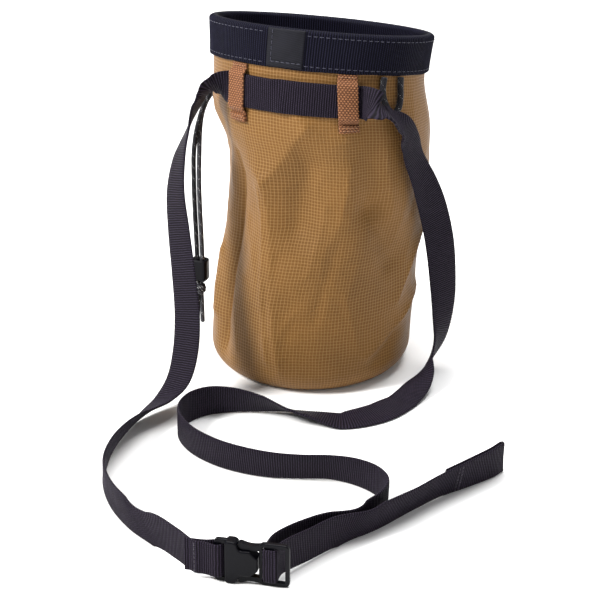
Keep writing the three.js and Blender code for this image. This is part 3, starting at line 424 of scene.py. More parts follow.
class Shader:
    """A Principled material whose nodes are added in short calls."""

    def __init__(self, name, roughness, specular=0.5, sheen=0.0, sheen_roughness=0.5):
        self.material = bpy.data.materials.new(name)
        self.material.use_nodes = True
        self.tree = self.material.node_tree
        self.main = self.tree.nodes["Principled BSDF"]
        self.main.inputs["Roughness"].default_value = roughness
        self.main.inputs["Specular IOR Level"].default_value = specular
        self.main.inputs["Sheen Weight"].default_value = sheen
        self.main.inputs["Sheen Roughness"].default_value = sheen_roughness

    def node(self, kind, **settings):
        made = self.tree.nodes.new(kind)
        for key, value in settings.items():
            setattr(made, key, value)
        return made

    def put(self, socket, value):
        if isinstance(value, bpy.types.NodeSocket):
            self.tree.links.new(value, socket)
        else:
            socket.default_value = value

    def math(self, operation, a, b=0.0, clamp=False):
        made = self.node("ShaderNodeMath", operation=operation, use_clamp=clamp)
        self.put(made.inputs[0], a)
        self.put(made.inputs[1], b)
        return made.outputs[0]

    def times(self, a, b, clamp=False):
        return self.math("MULTIPLY", a, b, clamp)

    def plus(self, a, b):
        return self.math("ADD", a, b)

    def minus(self, a, b):
        return self.math("SUBTRACT", a, b)

    def weave_uv(self):
        """The cloth's own two directions, in millimetres."""
        uv = self.node("ShaderNodeUVMap", uv_map="weave")
        split = self.node("ShaderNodeSeparateXYZ")
        self.tree.links.new(uv.outputs[0], split.inputs[0])
        return split.outputs[0], split.outputs[1]

    def wave(self, value, pitch):
        """A cosine of a length, from 0 to 1, once in each pitch."""
        wave = self.math("COSINE", self.times(value, 2 * math.pi / pitch))
        return self.plus(self.times(wave, 0.5), 0.5)

    def noise(self, scale, detail=2.0, stretch=(1, 1, 1)):
        """Noise over the object's own place, scale in cycles a metre."""
        place = self.node("ShaderNodeTexCoord")
        mapping = self.node("ShaderNodeMapping")
        mapping.inputs["Scale"].default_value = stretch
        self.tree.links.new(place.outputs["Object"], mapping.inputs[0])
        made = self.node("ShaderNodeTexNoise")
        made.inputs["Scale"].default_value = scale
        made.inputs["Detail"].default_value = detail
        self.tree.links.new(mapping.outputs[0], made.inputs["Vector"])
        return made.outputs["Fac"]

    def ramp(self, value, stops):
        made = self.node("ShaderNodeValToRGB")
        elements = made.color_ramp.elements
        while len(elements) < len(stops):
            elements.new(0.5)
        for element, (place, tone) in zip(elements, stops):
            element.position = place
            element.color = tone
        self.put(made.inputs[0], value)
        return made.outputs[0]

    def mix(self, share, a, b, blend="MIX"):
        made = self.node("ShaderNodeMix", data_type="RGBA", blend_type=blend)
        self.put(made.inputs["Factor"], share)
        self.put(made.inputs[6], a)
        self.put(made.inputs[7], b)
        return made.outputs[2]

    def bump(self, height, distance, strength=1.0, under=None):
        made = self.node("ShaderNodeBump")
        made.inputs["Distance"].default_value = distance
        made.inputs["Strength"].default_value = strength
        self.tree.links.new(height, made.inputs["Height"])
        if under is not None:
            self.tree.links.new(under, made.inputs["Normal"])
        return made.outputs[0]

    def finish(self, colour, normal=None, roughness=None):
        self.put(self.main.inputs["Base Color"], colour)
        if normal is not None:
            self.tree.links.new(normal, self.main.inputs["Normal"])
        if roughness is not None:
            self.tree.links.new(roughness, self.main.inputs["Roughness"])
        return self.material


def colour(red, green, blue):
    """A screen colour of 0 to 255 as the linear one that a shader takes."""
    shares = (red / 255, green / 255, blue / 255)
    return (*(c / 12.92 if c <= 0.04045 else ((c + 0.055) / 1.055) ** 2.4 for c in shares), 1)


def make_object(name, points, faces, uv, material):
    """A smooth mesh object on the root, from points in millimetres and a uv for every face corner."""
    mesh = bpy.data.meshes.new(name)
    mesh.from_pydata((np.asarray(points, float).reshape(-1, 3) * MM).tolist(), [], faces)
    mesh.uv_layers.new(name="weave").data.foreach_set("uv", np.asarray(uv, float).ravel())
    work = bmesh.new()
    work.from_mesh(mesh)
    bmesh.ops.recalc_face_normals(work, faces=work.faces)
    work.to_mesh(mesh)
    work.free()
    mesh.polygons.foreach_set("use_smooth", [True] * len(mesh.polygons))
    mesh.materials.append(material)
    made = bpy.data.objects.new(name, mesh)
    scene.collection.objects.link(made)
    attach(made, "root")
    return made


def grid(name, points, uv, material, wrap_rows=False, wrap_columns=False, caps=False):
    """A surface through rows of points. uv has one row or column more where that way closes."""
    rows, columns = points.shape[:2]
    row, col = np.meshgrid(np.arange(rows if wrap_rows else rows - 1),
                           np.arange(columns if wrap_columns else columns - 1), indexing="ij")
    corners = [(row, col), (row, col + 1), (row + 1, col + 1), (row + 1, col)]
    faces = np.stack([(r % rows) * columns + c % columns for r, c in corners], -1).reshape(-1, 4).tolist()
    loops = np.stack([uv[r, c] for r, c in corners], -2).reshape(-1, 2)
    if caps:
        faces.append(list(range(columns)))
        faces.append([(rows - 1) * columns + k for k in range(columns)])
        loops = np.vstack([loops, uv[0, :columns], uv[rows - 1, :columns]])
    return make_object(name, points, faces, loops, material)


def frames_along(points):
    """Unit directions along a line of points, and two across it that never twist."""
    along = unit(np.gradient(points, axis=0))
    side = np.cross(along[0], (0, 0, 1.0))
    if np.linalg.norm(side) < 0.1:
        side = np.cross(along[0], (0, 1.0, 0))
    sides = [unit(side)]
    for direction in along[1:]:
        kept = sides[-1] - direction * np.dot(sides[-1], direction)
        sides.append(unit(kept))
    sides = np.array(sides)
    return along, sides, np.cross(along, sides)


def tube(name, points, diameter, material, sides=20, ends=0.3):
    """A round cord along close points, its ends a little drawn in."""
    along, side, over = frames_along(points)
    run = run_length(points)
    radius = diameter / 2 * np.where((run < ends) | (run > run[-1] - ends), 0.85, 1.0)
    angle = np.arange(sides) / sides * 2 * math.pi
    rings = points[:, None, :] + radius[:, None, None] * (
        np.cos(angle)[None, :, None] * side[:, None, :] + np.sin(angle)[None, :, None] * over[:, None, :])
    u = np.linspace(0, math.pi * diameter, sides + 1)
    uv = spread(u[None, :], run[:, None])
    return grid(name, rings, uv, material, wrap_columns=True, caps=True)


def stitches(name, places, material, long=1.7, gap=0.7, thick=0.34, sink=0.35):
    """Thread stitches along close points on a surface, given with the surface's outward normals."""
    points, outs = places[:2]
    run = run_length(points)
    count = max(1, int((run[-1] + gap) // (long + gap)))
    start = (run[-1] - count * (long + gap) + gap) / 2
    vertices = []
    faces = []
    rings = 5
    sides = 6

    def between(rows, where):
        return np.array([np.interp(where, run, rows[:, axis]) for axis in range(3)])

    for i in range(count):
        first = start + i * (long + gap)
        base = len(vertices)
        for k in range(rings):
            share = k / (rings - 1)
            where = first + share * long
            centre = between(points, where)
            out = unit(between(outs, where))
            along = unit(between(points, where + 0.2) - between(points, where - 0.2))
            across = unit(np.cross(along, out))
            arch = math.sin(math.pi * (0.12 + 0.76 * share))
            for side in range(sides):
                a = side / sides * 2 * math.pi
                vertices.append(centre + out * thick * (arch - sink - 0.2 + 0.5 * math.sin(a) * arch)
                                + across * thick * 0.5 * math.cos(a) * (0.45 + 0.55 * arch))
        for k in range(rings - 1):
            for side in range(sides):
                here = base + k * sides
                after = (side + 1) % sides
                faces.append([here + side, here + after, here + sides + after, here + sides + side])
        faces.append([base + side for side in range(sides)])
        faces.append([base + (rings - 1) * sides + side for side in range(sides)])
    corner_count = sum(len(face) for face in faces)
    return make_object(name, vertices, faces, np.zeros((corner_count, 2)), material)


# Materials
def ripstop():
    """Coated ripstop: a grid of light threads over darker satin cells."""
    made = Shader("ripstop", roughness=0.5, specular=0.14, sheen=0.02, sheen_roughness=0.45)
    u, v = made.weave_uv()
    wander = made.times(made.minus(made.noise(90, 2), 0.5), 1.3)
    grid_u = made.wave(made.plus(u, wander), ripstop_pitch)
    grid_v = made.wave(made.plus(v, wander), ripstop_pitch)
    line_u = made.math("POWER", grid_u, 4.0)
    line_v = made.math("POWER", grid_v, 4.0)
    lines = made.math("MAXIMUM", line_u, line_v)
    crossing = made.times(line_u, line_v)
    fine = made.times(made.wave(u, 0.3), made.wave(v, 0.3))
    tone = made.noise(24, 3)
    patches = made.ramp(tone, [(0.3, colour(94, 63, 28)), (0.7, colour(112, 76, 34))])
    threads = made.mix(made.times(lines, 0.42), patches, colour(160, 122, 74))
    bright = made.mix(made.times(crossing, 0.25), threads, colour(186, 152, 102))
    dusty = made.mix(made.times(made.noise(8, 2), 0.08), bright, colour(160, 128, 84))
    height = made.plus(made.times(lines, 0.8), made.times(fine, 0.2))
    crumple = made.bump(made.noise(160, 3), 0.0006, 0.35)
    normal = made.bump(height, 0.00016, 0.8, crumple)
    rough = made.plus(made.times(lines, -0.12), 0.56)
    return made.finish(dusty, normal, rough)


def webbing(name, dark, light, rib, dot, roughness, sheen=0.02):
    """Ribbed webbing: ribs across its length, each broken into the stitches of its weave, with painted
    shade darkening the grooves between the ribs.
    """
    made = Shader(name, roughness=roughness, specular=0.07, sheen=sheen, sheen_roughness=0.4)
    u, v = made.weave_uv()
    wander = made.times(made.minus(made.noise(300, 2), 0.5), 0.5)
    turned = made.plus(u, wander)
    ribs = made.wave(turned, rib)
    other = made.wave(turned, rib * 2)
    dots = made.wave(v, dot)
    offset = made.minus(1.0, dots)
    picks = made.plus(made.times(dots, other),
                      made.times(offset, made.minus(1.0, other)))
    high = made.times(made.math("POWER", ribs, 1.5),
                     made.plus(made.times(picks, 0.6), 0.4))
    fuzz = made.noise(1800, 2)
    # Painted shade: the colour darkens from the rib tops into the grooves between them; the fuzz adds the
    # yarn's own random tone.
    tone = made.times(high, made.plus(fuzz, 0.45))
    mixed = made.mix(made.times(tone, 0.9, clamp=True), dark, light)
    normal = made.bump(high, 0.00022, 0.8, made.bump(fuzz, 0.00008, 0.5))
    return made.finish(mixed, normal)


def loop_cloth():
    """Coarse brown webbing, the gaps between its threads painted dark as shade."""
    made = Shader("loop_cloth", roughness=0.62, specular=0.2, sheen=0.06, sheen_roughness=0.4)
    u, v = made.weave_uv()
    across = made.math("COSINE", made.times(u, 2 * math.pi / 1.65))
    down = made.math("COSINE", made.times(v, math.pi / 1.1))
    weave = made.plus(made.times(made.times(across, down), 0.5), 0.5)
    ribs = made.wave(v, 1.1)
    high = made.times(made.plus(made.times(weave, 0.7), 0.3),
                     made.plus(made.times(ribs, 0.6), 0.4))
    fuzz = made.noise(1500, 2)
    tone = made.times(high, made.plus(fuzz, 0.55), clamp=True)
    # Painted shade: the ramp runs from near-black in the gaps between threads to light brown on the thread
    # tops, with random fuzz.
    mixed = made.ramp(tone, [(0.0, colour(46, 24, 14)), (0.3, colour(92, 56, 34)),
                             (0.85, colour(158, 108, 72))])
    normal = made.bump(high, 0.0003, 0.9)
    return made.finish(mixed, normal)


def patch_cloth():
    """Smooth charcoal label cloth with a faint diagonal twill."""
    made = Shader("patch_cloth", roughness=0.55, specular=0.12, sheen=0.02, sheen_roughness=0.4)
    u, v = made.weave_uv()
    twill = made.wave(made.plus(made.times(u, 0.35), v), 0.9)
    fine = made.times(made.wave(u, 0.35), made.wave(v, 0.35))
    tone = made.plus(made.times(twill, 0.45), made.times(made.noise(120, 3), 0.5))
    mixed = made.ramp(tone, [(0.2, colour(10, 10, 15)), (0.8, colour(27, 27, 36))])
    normal = made.bump(made.plus(twill, fine), 0.00006, 0.6)
    return made.finish(mixed, normal)


def moulded():
    """Satin black moulding with a fine texture and slightly worn tone."""
    made = Shader("moulded", roughness=0.36, specular=0.12)
    grain = made.noise(2600, 2)
    tone = made.ramp(made.noise(60, 2), [(0.3, colour(2, 2, 6)), (0.7, colour(6, 6, 12))])
    rough = made.plus(made.times(grain, 0.12), 0.3)
    return made.finish(tone, made.bump(grain, 0.00003, 0.5), rough)


def braid(name, dark, light, fleck, flecks):
    """Round braided cord: two sets of slanting strands, one strand carrying bright flecks."""
    made = Shader(name, roughness=0.6, specular=0.16, sheen=0.06, sheen_roughness=0.4)
    u, v = made.weave_uv()
    pitch = 1.18
    right = made.wave(made.plus(u, made.times(v, 0.8)), pitch)
    left = made.wave(made.minus(u, made.times(v, 0.8)), pitch)
    high = made.math("MAXIMUM", right, left)
    fuzz = made.noise(2200, 2)
    # Painted shade: the strands darken from their crowns into the hollows between them; the fuzz adds
    # random tone.
    tone = made.times(high, made.plus(fuzz, 0.35), clamp=True)
    body = made.mix(tone, dark, light)
    long_strand = made.wave(made.plus(u, made.times(v, 0.8)), pitch * 4)
    bright = made.math("GREATER_THAN", made.times(made.times(long_strand, left), fuzz), flecks)
    mixed = made.mix(bright, body, fleck)
    return made.finish(mixed, made.bump(high, 0.0002, 0.8))


def thread(name, tone):
    """Sewing thread with a random fuzzy tone."""
    made = Shader(name, roughness=0.55, specular=0.35, sheen=0.3)
    fuzz = made.noise(3000, 2)
    shade = (*(c * 0.6 for c in tone[:3]), 1)
    mixed = made.mix(fuzz, shade, tone)
    return made.finish(mixed, made.bump(fuzz, 0.00005, 0.6))


def lining():
    """The coated inner side of the base cloth."""
    made = Shader("base_cloth", roughness=0.6, specular=0.2, sheen=0.05)
    u, v = made.weave_uv()
    lines = made.math("MAXIMUM", made.math("POWER", made.wave(u, ripstop_pitch), 3.0),
                      made.math("POWER", made.wave(v, ripstop_pitch), 3.0))
    tone = made.ramp(made.noise(30, 3), [(0.3, colour(84, 54, 26)), (0.7, colour(100, 66, 32))])
    mixed = made.mix(made.times(lines, 0.5), tone, colour(130, 94, 54))
    return made.finish(mixed, made.bump(lines, 0.00015, 0.7))


shell_material = ripstop()
base_material = lining()
# Each webbing's first colour is the painted shade in its grooves, its second the colour of its rib tops.
rim_material = webbing("rim_webbing", colour(2, 2, 8), colour(31, 30, 51), rim_rib, 0.95, 0.62)
belt_material = webbing("belt_webbing", colour(7, 4, 9), colour(56, 49, 65), belt_rib, 0.9, 0.6)
loop_material = loop_cloth()
label_material = patch_cloth()
plastic_material = moulded()
# Each braid's first colour is the painted shade between its strands, its second the strand crowns, its
# third the flecks.
brush_material = braid("brush_braid", colour(5, 5, 8), colour(34, 34, 40), colour(170, 170, 172), 0.52)
cord_black = braid("drawcord_braid", colour(4, 4, 6), colour(26, 26, 31), colour(180, 180, 184), 0.5)
cord_grey = braid("drawcord_braid_grey", colour(12, 12, 15), colour(66, 66, 72),
                  colour(190, 190, 192), 0.46)
dark_thread = thread("dark_thread", colour(52, 52, 74))
brown_thread = thread("brown_thread", colour(158, 112, 74))
belt_thread = thread("belt_thread", colour(58, 52, 66))


# Cords
def brush_points():
    off = 1.5 * fit + brush_cord / 2
    top = band_height + 2 * fit
    middle = (brush_turn_left + brush_turn_right) / 2
    half = (brush_turn_right - brush_turn_left) / 2
    shape = np.array(brush_shape)
    return on_wall(middle + half * shape[:, 0], top + brush_drop * shape[:, 1], off)[0]


def strand_points(side):
    spread = draw_cord / 2 + fit / 2
    start, out, up = wall(eyelet_turn, eyelet_height / rim_height)
    first = start + out * 2 * fit
    first[1] += side * spread
    points = [first, first + out * draw_cord]
    for i, (x, y, z) in enumerate(drawcord_route):
        turned = float(smooth(2, 5, i)) * math.pi / 2
        points.append(np.array((x - body_radius + side * spread * math.sin(turned),
                                y + side * spread * math.cos(turned), z)))
    return np.array(points)


def cord_line(points, step=0.3):
    curve = Curve(points)
    t, length = curve.even(step)
    return curve.at(t), length


brush_line, brush_length = cord_line(brush_points())
brush = tube("brush_cord", brush_line, brush_cord, brush_material, sides=24)
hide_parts("brush_loop")


def knot_pieces():
    """Two cords wound round each other into a stopper knot, with short flat-cut tails."""
    last = drawcord_route[-1]
    middle = np.array((last[0] - body_radius, last[1], 0.0))
    top = last[2] - fit
    made = []
    for side, material in ((-1, cord_black), (1, cord_grey)):
        points = [middle + (side * draw_cord * 0.45, 0, top - 0.3)]
        turns = 1.35
        for i in range(15):
            share = i / 14
            a = math.pi * (0.5 + side * 0.5) + 2 * math.pi * turns * share
            reach = 2.1 - 0.5 * abs(2 * share - 1)
            points.append(middle + (reach * math.cos(a), 0.8 * reach * math.sin(a),
                                    top - 1.6 - 3.6 * share))
        end = knot_high * 1.35
        points.append(middle + (side * 0.6, 0.2 * side, top - knot_high * 0.92))
        points.append(middle + (side * 1.1 - 0.2, 0, (top - knot_high + end) / 2))
        points.append(middle + (side * 1.35 - 0.3, 0, end))
        line, length = cord_line(np.array(points))
        name = "knot_front" if side < 0 else "knot_back"
        made.append(tube(name, line, draw_cord * 0.92, material, sides=18))
    return made


knot = knot_pieces()
for piece in knot:
    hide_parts("drawcord_knot")
for side, name, material in ((-1, "drawcord_front", cord_black), (1, "drawcord_back", cord_grey)):
    line, length = cord_line(strand_points(side))
    strand = tube(name + "_braid", line, draw_cord, material, sides=20)
    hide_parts(name)


# Bag body
shell_columns = 324
shell_rows = 150
all_folds = main_folds + creases


def cloth_noise(points):
    """Slack of the cloth that no fold of the tables gives, in millimetres."""
    slack = np.empty(len(points))
    for i, (x, y, z) in enumerate(points):
        broad = noise.noise(Vector((x * 0.035, y * 0.035, z * 0.022 + 7.0)))
        ridge = 1 - abs(noise.noise(Vector((x * 0.06 + 3.0, y * 0.06, z * 0.04)))) * 2
        small = noise.noise(Vector((x * 0.16, y * 0.16, z * 0.12 + 2.0)))
        slack[i] = 0.55 * broad + 0.35 * ridge * ridge + 0.12 * small
    return slack


def make_shell():
    """The bag's wall: both faces, the rounded foot and the edge inside the rim band, as one closed skin."""
    turns = 180 + np.arange(shell_columns) / shell_columns * 360
    top_drop = band_stand + fit
    top_at = 1 - top_drop * pitch_cos / rim_height
    round_at = bottom_round / rim_height
    inset_seam = body_radius - base_radius - fit
    inwards = np.stack([-np.sin(rad(turns)), np.cos(rad(turns)), np.zeros(shell_columns)], -1)

    def under(inset, height):
        point = cloth_point(turns, np.full(shell_columns, height / rim_height)) + inwards * inset
        point[:, 2] = height
        return point

    outer = [under(inset_seam, 0.0)]
    inner = [under(inset_seam, cloth_wall)]
    steps = 9
    for k in range(steps):
        a = k / steps * math.pi / 2
        sweep = bottom_round - cloth_wall
        outer.append(under(bottom_round * (1 - math.sin(a)), bottom_round * (1 - math.cos(a))))
        inner.append(under(bottom_round - sweep * math.sin(a), bottom_round - sweep * math.cos(a)))
    at = np.linspace(round_at, top_at, shell_rows)
    turn_grid, at_grid = np.meshgrid(turns, at)
    point, out, up = wall(turn_grid, at_grid, all_folds)
    fade = smooth(bottom_round, 3 * bottom_round, at_grid * rim_height)
    fade = fade * smooth(band_height, band_height + loop_slack + belt_width, (1 - at_grid) * rim_height)
    slack = cloth_noise(point.reshape(-1, 3)).reshape(at_grid.shape) * fade
    point = point + out * slack[..., None]
    outer += list(point)
    inner += list((point - out * cloth_wall)[::2])
    inner.append((point - out * cloth_wall)[-1])
    rings = np.array(outer + inner[::-1]).transpose(1, 0, 2)
    front = rings[shell_columns // 2]
    v = run_length(np.vstack([front, front[:1]]))
    u = np.linspace(0, 2 * math.pi * body_radius, shell_columns + 1)
    uv = spread(u[:, None], v[None, :])
    shell = grid("shell_cloth", rings, uv, shell_material, wrap_rows=True, wrap_columns=True)
    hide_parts("shell")


def make_base():
    """The round floor panel, a little slack inside its seam, and the seam's stitches."""
    turns = np.arange(120) / 120 * 2 * math.pi
    edge = base_radius
    below = [(0.4, 0.35), (8, 0.3), (18, 0.22), (27, 0.12), (edge - 1.0, 0.05), (edge - 0.3, 0.3)]
    above = [(edge - 0.1, base_thick / 2), (edge - 0.3, base_thick - 0.3), (edge - 1.0, base_thick),
             (27, base_thick + 0.1), (18, base_thick + 0.25), (8, base_thick + 0.35),
             (0.4, base_thick + 0.35)]
    profile = below + above
    rings = np.array([[(r * math.cos(a), r * math.sin(a), z) for r, z in profile] for a in turns])
    wide = np.vstack([rings, rings[:1]])
    uv = np.concatenate([wide, wide[:, :1]], 1)[..., :2] + 60
    panel = grid("base_cloth", rings, uv, base_material, wrap_rows=True, wrap_columns=True)
    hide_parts("base_panel")
    ring = np.stack([np.cos(turns), np.sin(turns), np.zeros(120)], -1)
    line = np.vstack([ring, ring[:1]]) * (base_radius - 2.6) + (0, 0, base_thick + 0.1)
    stitches("base_stitches", (line, np.tile((0, 0, 1.0), (len(line), 1))), brown_thread,
             long=2.2, gap=0.9)


def rim_turns(count):
    """Turns at even distances round the mouth, and the distance round it."""
    fine = np.linspace(180, 540, 1441)
    edge = on_wall(fine, 9.0, band_stand)[0]
    run = run_length(edge)
    return np.interp(np.linspace(0, run[-1], count + 1), run, fine), run[-1]


def make_rim():
    """The folded webbing over the mouth, its ribs across its length."""
    ribs = 254
    turns, around = rim_turns(ribs * 4)
    ring_turns = turns[:-1]
    inside = -cloth_wall - band_seat
    middle = (band_stand + inside - band_thick) / 2
    half = (band_stand - inside + band_thick) / 2
    profile = [(band_seat + 0.1, band_height - 0.1, 0), (band_stand - 0.45, band_height + 0.05, 0.3),
               (band_stand - 0.12, band_height - 0.15, 0.8)]
    profile += [(band_stand, drop, 1) for drop in np.linspace(band_height - 0.6, 2.2, 15)]
    for k in range(11):
        a = math.pi * k / 10
        profile.append((middle + half * math.cos(a), 1.5 - 1.6 * math.sin(a), 1))
    profile += [(inside - band_thick, drop, -1) for drop in np.linspace(2.2, band_height - 0.6, 13)]
    profile += [(inside - band_thick + 0.2, band_height, -0.5), (inside, band_height, 0),
                (inside, band_stand + 0.3, 0), (band_seat, band_stand + 0.3, 0)]
    rib = np.cos(np.arange(len(ring_turns)) / 4 * 2 * math.pi)
    columns = []
    for off, drop, face in profile:
        wavy = 0.12 * np.sin(rad(ring_turns) * 9 + drop * 0.3) + 0.1 * np.sin(rad(ring_turns) * 23)
        lift = off + 0.13 * rib * face + (0.35 * wavy if face > 0 else 0)
        low = 0.25 * np.sin(rad(ring_turns) * 5 + 1) + 0.15 * np.sin(rad(ring_turns) * 14)
        share = drop / band_height
        point, out, up = on_wall(ring_turns, drop + low * share * 0.6, lift)
        columns.append(point)
    rings = np.array(columns).transpose(1, 0, 2)
    sizes = np.array([(off, drop, 0) for off, drop, face in profile])
    v = run_length(np.vstack([sizes, sizes[:1]]))
    u = np.arange(len(ring_turns) + 1) / 4 * rim_rib
    uv = spread(u[:, None], v[None, :])
    band = grid("rim_binding", rings, uv, rim_material, wrap_rows=True, wrap_columns=True)
    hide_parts("rim_band")
    for name, drop in (("rim_stitches_high", 2.6), ("rim_stitches_low", band_height - 2.0)):
        line_turns = rim_turns(700)[0]
        point, out, up = on_wall(line_turns, drop, band_stand + 0.1)
        clear = np.abs(np.mod(line_turns, 360) - (360 + patch_turn)) > 12
        kept = np.arange(len(line_turns))[clear]
        split = int(np.argmax(np.diff(kept))) + 1
        for number, run in enumerate((kept[:split], kept[split:])):
            stitches(f"{name}_{number}", (point[run], out[run]), dark_thread,
                     long=1.9, gap=1.0, thick=0.3)


def turn_reach(width):
    """How many degrees a width takes at the mouth."""
    return math.degrees(width / (body_radius * float(column(WIDE, np.array(1.0)))))


def make_patch():
    """The blank label: a thin square of cloth with turned edges, sewn along two sides."""
    low = band_stand + 0.2
    high = band_stand + fit + patch_thick - 0.1
    columns = 56
    rows = 48
    reach = turn_reach(patch_width)
    s = np.linspace(0, 1, columns)
    t = np.linspace(0, 1, rows)
    turn_grid, drop_grid = np.meshgrid(patch_turn + (s - 0.5) * reach, (0.02 + 0.96 * t) * band_height)
    across = np.minimum(s, 1 - s) * patch_width
    down = np.minimum(t, 1 - t) * band_height
    near = np.minimum(across[None, :], down[:, None])
    edge = np.sqrt(np.clip(near / 0.5, 0, 1))
    groove = np.exp(-((across[None, :] - 2.6) / 0.35) ** 2) * (s < 0.5)[None, :]
    groove = groove + np.exp(-(((1 - t)[:, None] * band_height - 2.8) / 0.35) ** 2)
    puff = 0.12 * np.sin(s * 17)[None, :] * np.sin(t * 9 + 1)[:, None]
    top = on_wall(turn_grid, drop_grid, low + (high - low) * edge - 0.12 * groove + 0.35 * puff * edge)[0]
    under = on_wall(turn_grid, drop_grid, np.full(turn_grid.shape, low - 0.05))[0]
    rings = np.concatenate([top, under[:, ::-1]], 1)
    around = np.concatenate([s, s[::-1], s[:1]]) * patch_width
    uv = spread(around[None, :], (t * band_height)[:, None])
    label = grid("label_patch", rings, uv, label_material, wrap_columns=True, caps=True)
    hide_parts("rim_patch")
    stand = high + 0.02
    side_turn = patch_turn - reach * (0.5 - 2.6 / patch_width)
    drops = np.linspace(1.2, band_height - 2.9, 40)
    stitches("label_stitches_side", on_wall(side_turn, drops, stand), dark_thread,
             gap=0.9, thick=0.32)
    turns = np.linspace(side_turn, patch_turn + reach * 0.44, 40)
    stitches("label_stitches_low", on_wall(turns, band_height - 2.8, stand), dark_thread,
             gap=0.9, thick=0.32)


def belt_on_wall(turn):
    point, out, up = on_wall(np.array([turn], float), belt_drop, fit + belt_ease + belt_thick / 2)
    return point[0], up[0], out[0]


def make_belt_loop(side, turn):
    """A short coarse webbing strip down the wall and over the belt, its end folded under and sewn."""
    columns = 44
    rows = 190
    reach = turn_reach(loop_width)
    seat = 1.5 * fit
    over = belt_thick / 2 + seat
    top = belt_drop - belt_width / 2
    bottom = belt_drop + belt_width / 2
    cloth_rows = [(band_height + fit, 1), (top - loop_ramp, 1)]
    hem = bottom + loop_ramp
    last_rows = [(hem, 1), (hem + fit, 2), (hem + loop_hem, 2)]
    low_grid = []
    high_grid = []
    out_grid = []
    for k in range(columns):
        here = turn + (k / (columns - 1) - 0.5) * reach
        low = []
        high = []

        def on_cloth(drop, layers):
            point, out, up = on_wall(np.array([here]), drop, 0.0)
            low.append(point[0] + out[0] * seat)
            high.append(point[0] + out[0] * (seat + layers * loop_thick))

        for drop, layers in cloth_rows:
            on_cloth(drop, layers)
        place, edge, out = belt_on_wall(here)
        for rise in (belt_width / 2 + fit, belt_width / 4, 0, -belt_width / 4, -belt_width / 2 - fit):
            low.append(place + edge * rise + out * over)
            high.append(place + edge * rise + out * (over + loop_thick))
        for drop, layers in last_rows:
            on_cloth(drop, layers)
        t = np.linspace(0, 1, rows)
        low_line = Curve(low).at(t)
        high_line = Curve(high).at(t)
        low_grid.append(low_line)
        high_grid.append(high_line)
        out_grid.append(unit(high_line - low_line))
    low_grid, high_grid, out_grid = (np.array(columns_of).transpose(1, 0, 2)
                                     for columns_of in (low_grid, high_grid, out_grid))
    v = run_length(high_grid[:, columns // 2])
    u = np.linspace(0, loop_width, columns)
    weave = (np.cos(u * 2 * math.pi / 1.65)[None, :] * np.cos(v * math.pi / 1.1)[:, None])
    ribs = np.cos(v * 2 * math.pi / 1.1)[:, None]
    edge = np.minimum(u, loop_width - u)
    rounded = -0.4 * (1 - np.sqrt(np.clip(edge / 0.5, 0, 1)))
    high_grid = high_grid + out_grid * (0.10 * weave + 0.05 * ribs + rounded[None, :])[..., None]
    rings = np.concatenate([low_grid, high_grid[:, ::-1]], 1)
    around = np.concatenate([u, u[::-1], u[:1]])
    v = np.append(v, v[-1])
    uv = spread(around[None, :], v[:, None])
    piece = grid("loop_" + side, rings, uv, loop_material, wrap_columns=True, caps=True)
    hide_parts("belt_loop_" + side)
    turns = np.linspace(turn - reach * 0.42, turn + reach * 0.42, 24)
    lift = seat + 2 * loop_thick + 0.12
    for number, drop in enumerate((hem + 0.9, hem + 2.3)):
        stitches(f"loop_{side}_stitches_{number}", on_wall(turns, drop, lift), brown_thread,
                 long=1.5, gap=0.45, thick=0.42)
    top_line = on_wall(turns, band_height + 1.5, seat + loop_thick + 0.1)
    stitches(f"loop_{side}_stitches_top", top_line, brown_thread,
             long=1.5, gap=0.5, thick=0.36)


# Belt
heading = math.radians(buckle_heading)


def in_buckle(x, y, z=0.0):
    return buckle_start + np.array((x * math.cos(heading) - y * math.sin(heading),
                                    x * math.sin(heading) + y * math.cos(heading), z))


def route_place(row):
    turn, out, rise, edge_x, edge_y, edge_z = row
    away = body_radius + out * laid_reach
    belt_rise = on_wall(np.array([0.0]), belt_drop, 0.0)[0][0, 2]
    point = np.array((math.sin(math.radians(turn)) * away, -math.cos(math.radians(turn)) * away,
                      rise * belt_rise))
    return point, unit((edge_x, edge_y, edge_z))


def belt_line():
    """Close points of the belt's middle, the direction of its upper edge, and the distance along it."""
    layer = belt_thick / 2 + fit / 2
    bar_reach = math.hypot(female_bar, plate_thick) / 2 + fit + belt_thick / 2
    places = []

    def add(x, y, sign):
        places.append((in_buckle(x, y), np.array((0, 0, float(sign)))))

    def arc(x, y, radius, start, end, steps, sign):
        for i in range(steps + 1):
            a = math.radians(start + (end - start) * i / steps)
            add(x + radius * math.cos(a), y + radius * math.sin(a), sign)

    for x, y in ((-sewn_end, layer), (-sewn_end * 0.7, layer), (-5, layer + 0.1), (-2.6, layer + 0.6)):
        add(x, y, 1)
    arc(female_bar / 2, 0, bar_reach, 100, -100, 10, 1)
    for x, y in ((-2.6, -layer - 0.6), (-5, -layer - 0.1), (-sewn_end * 0.62, -layer)):
        add(x, y, 1)
    places += [route_place(row) for row in left_route]
    for turn in np.linspace(loop_turn_left - 7, loop_turn_right + 7, 19):
        point, edge, out = belt_on_wall(turn)
        places.append((point, edge))
    places += [route_place(row) for row in right_route]
    bend = fit + belt_thick / 2
    for x, y in ((bar_start + 0.2, 13), (bar_start - bend, 6), (bar_start - bend, 2.5)):
        add(x, y, -1)
    arc(bar_start, -plate_thick / 2, bend, 180, 270, 4, -1)
    arc(bar_end, -plate_thick / 2, bend, 270, 360, 4, -1)
    for x, y in ((bar_end + bend, 1.2), (bar_end + bend + 0.4, 6)):
        add(x, y, -1)
    places += [route_place(row) for row in tail_route]
    curve = Curve([point for point, edge in places])
    edges = Curve([edge for point, edge in places], centripetal=False)
    t, length = curve.even(belt_rib / 4)
    points = curve.at(t)
    edge_line = unit(edges.at(t))
    return folded_end(points, edge_line)


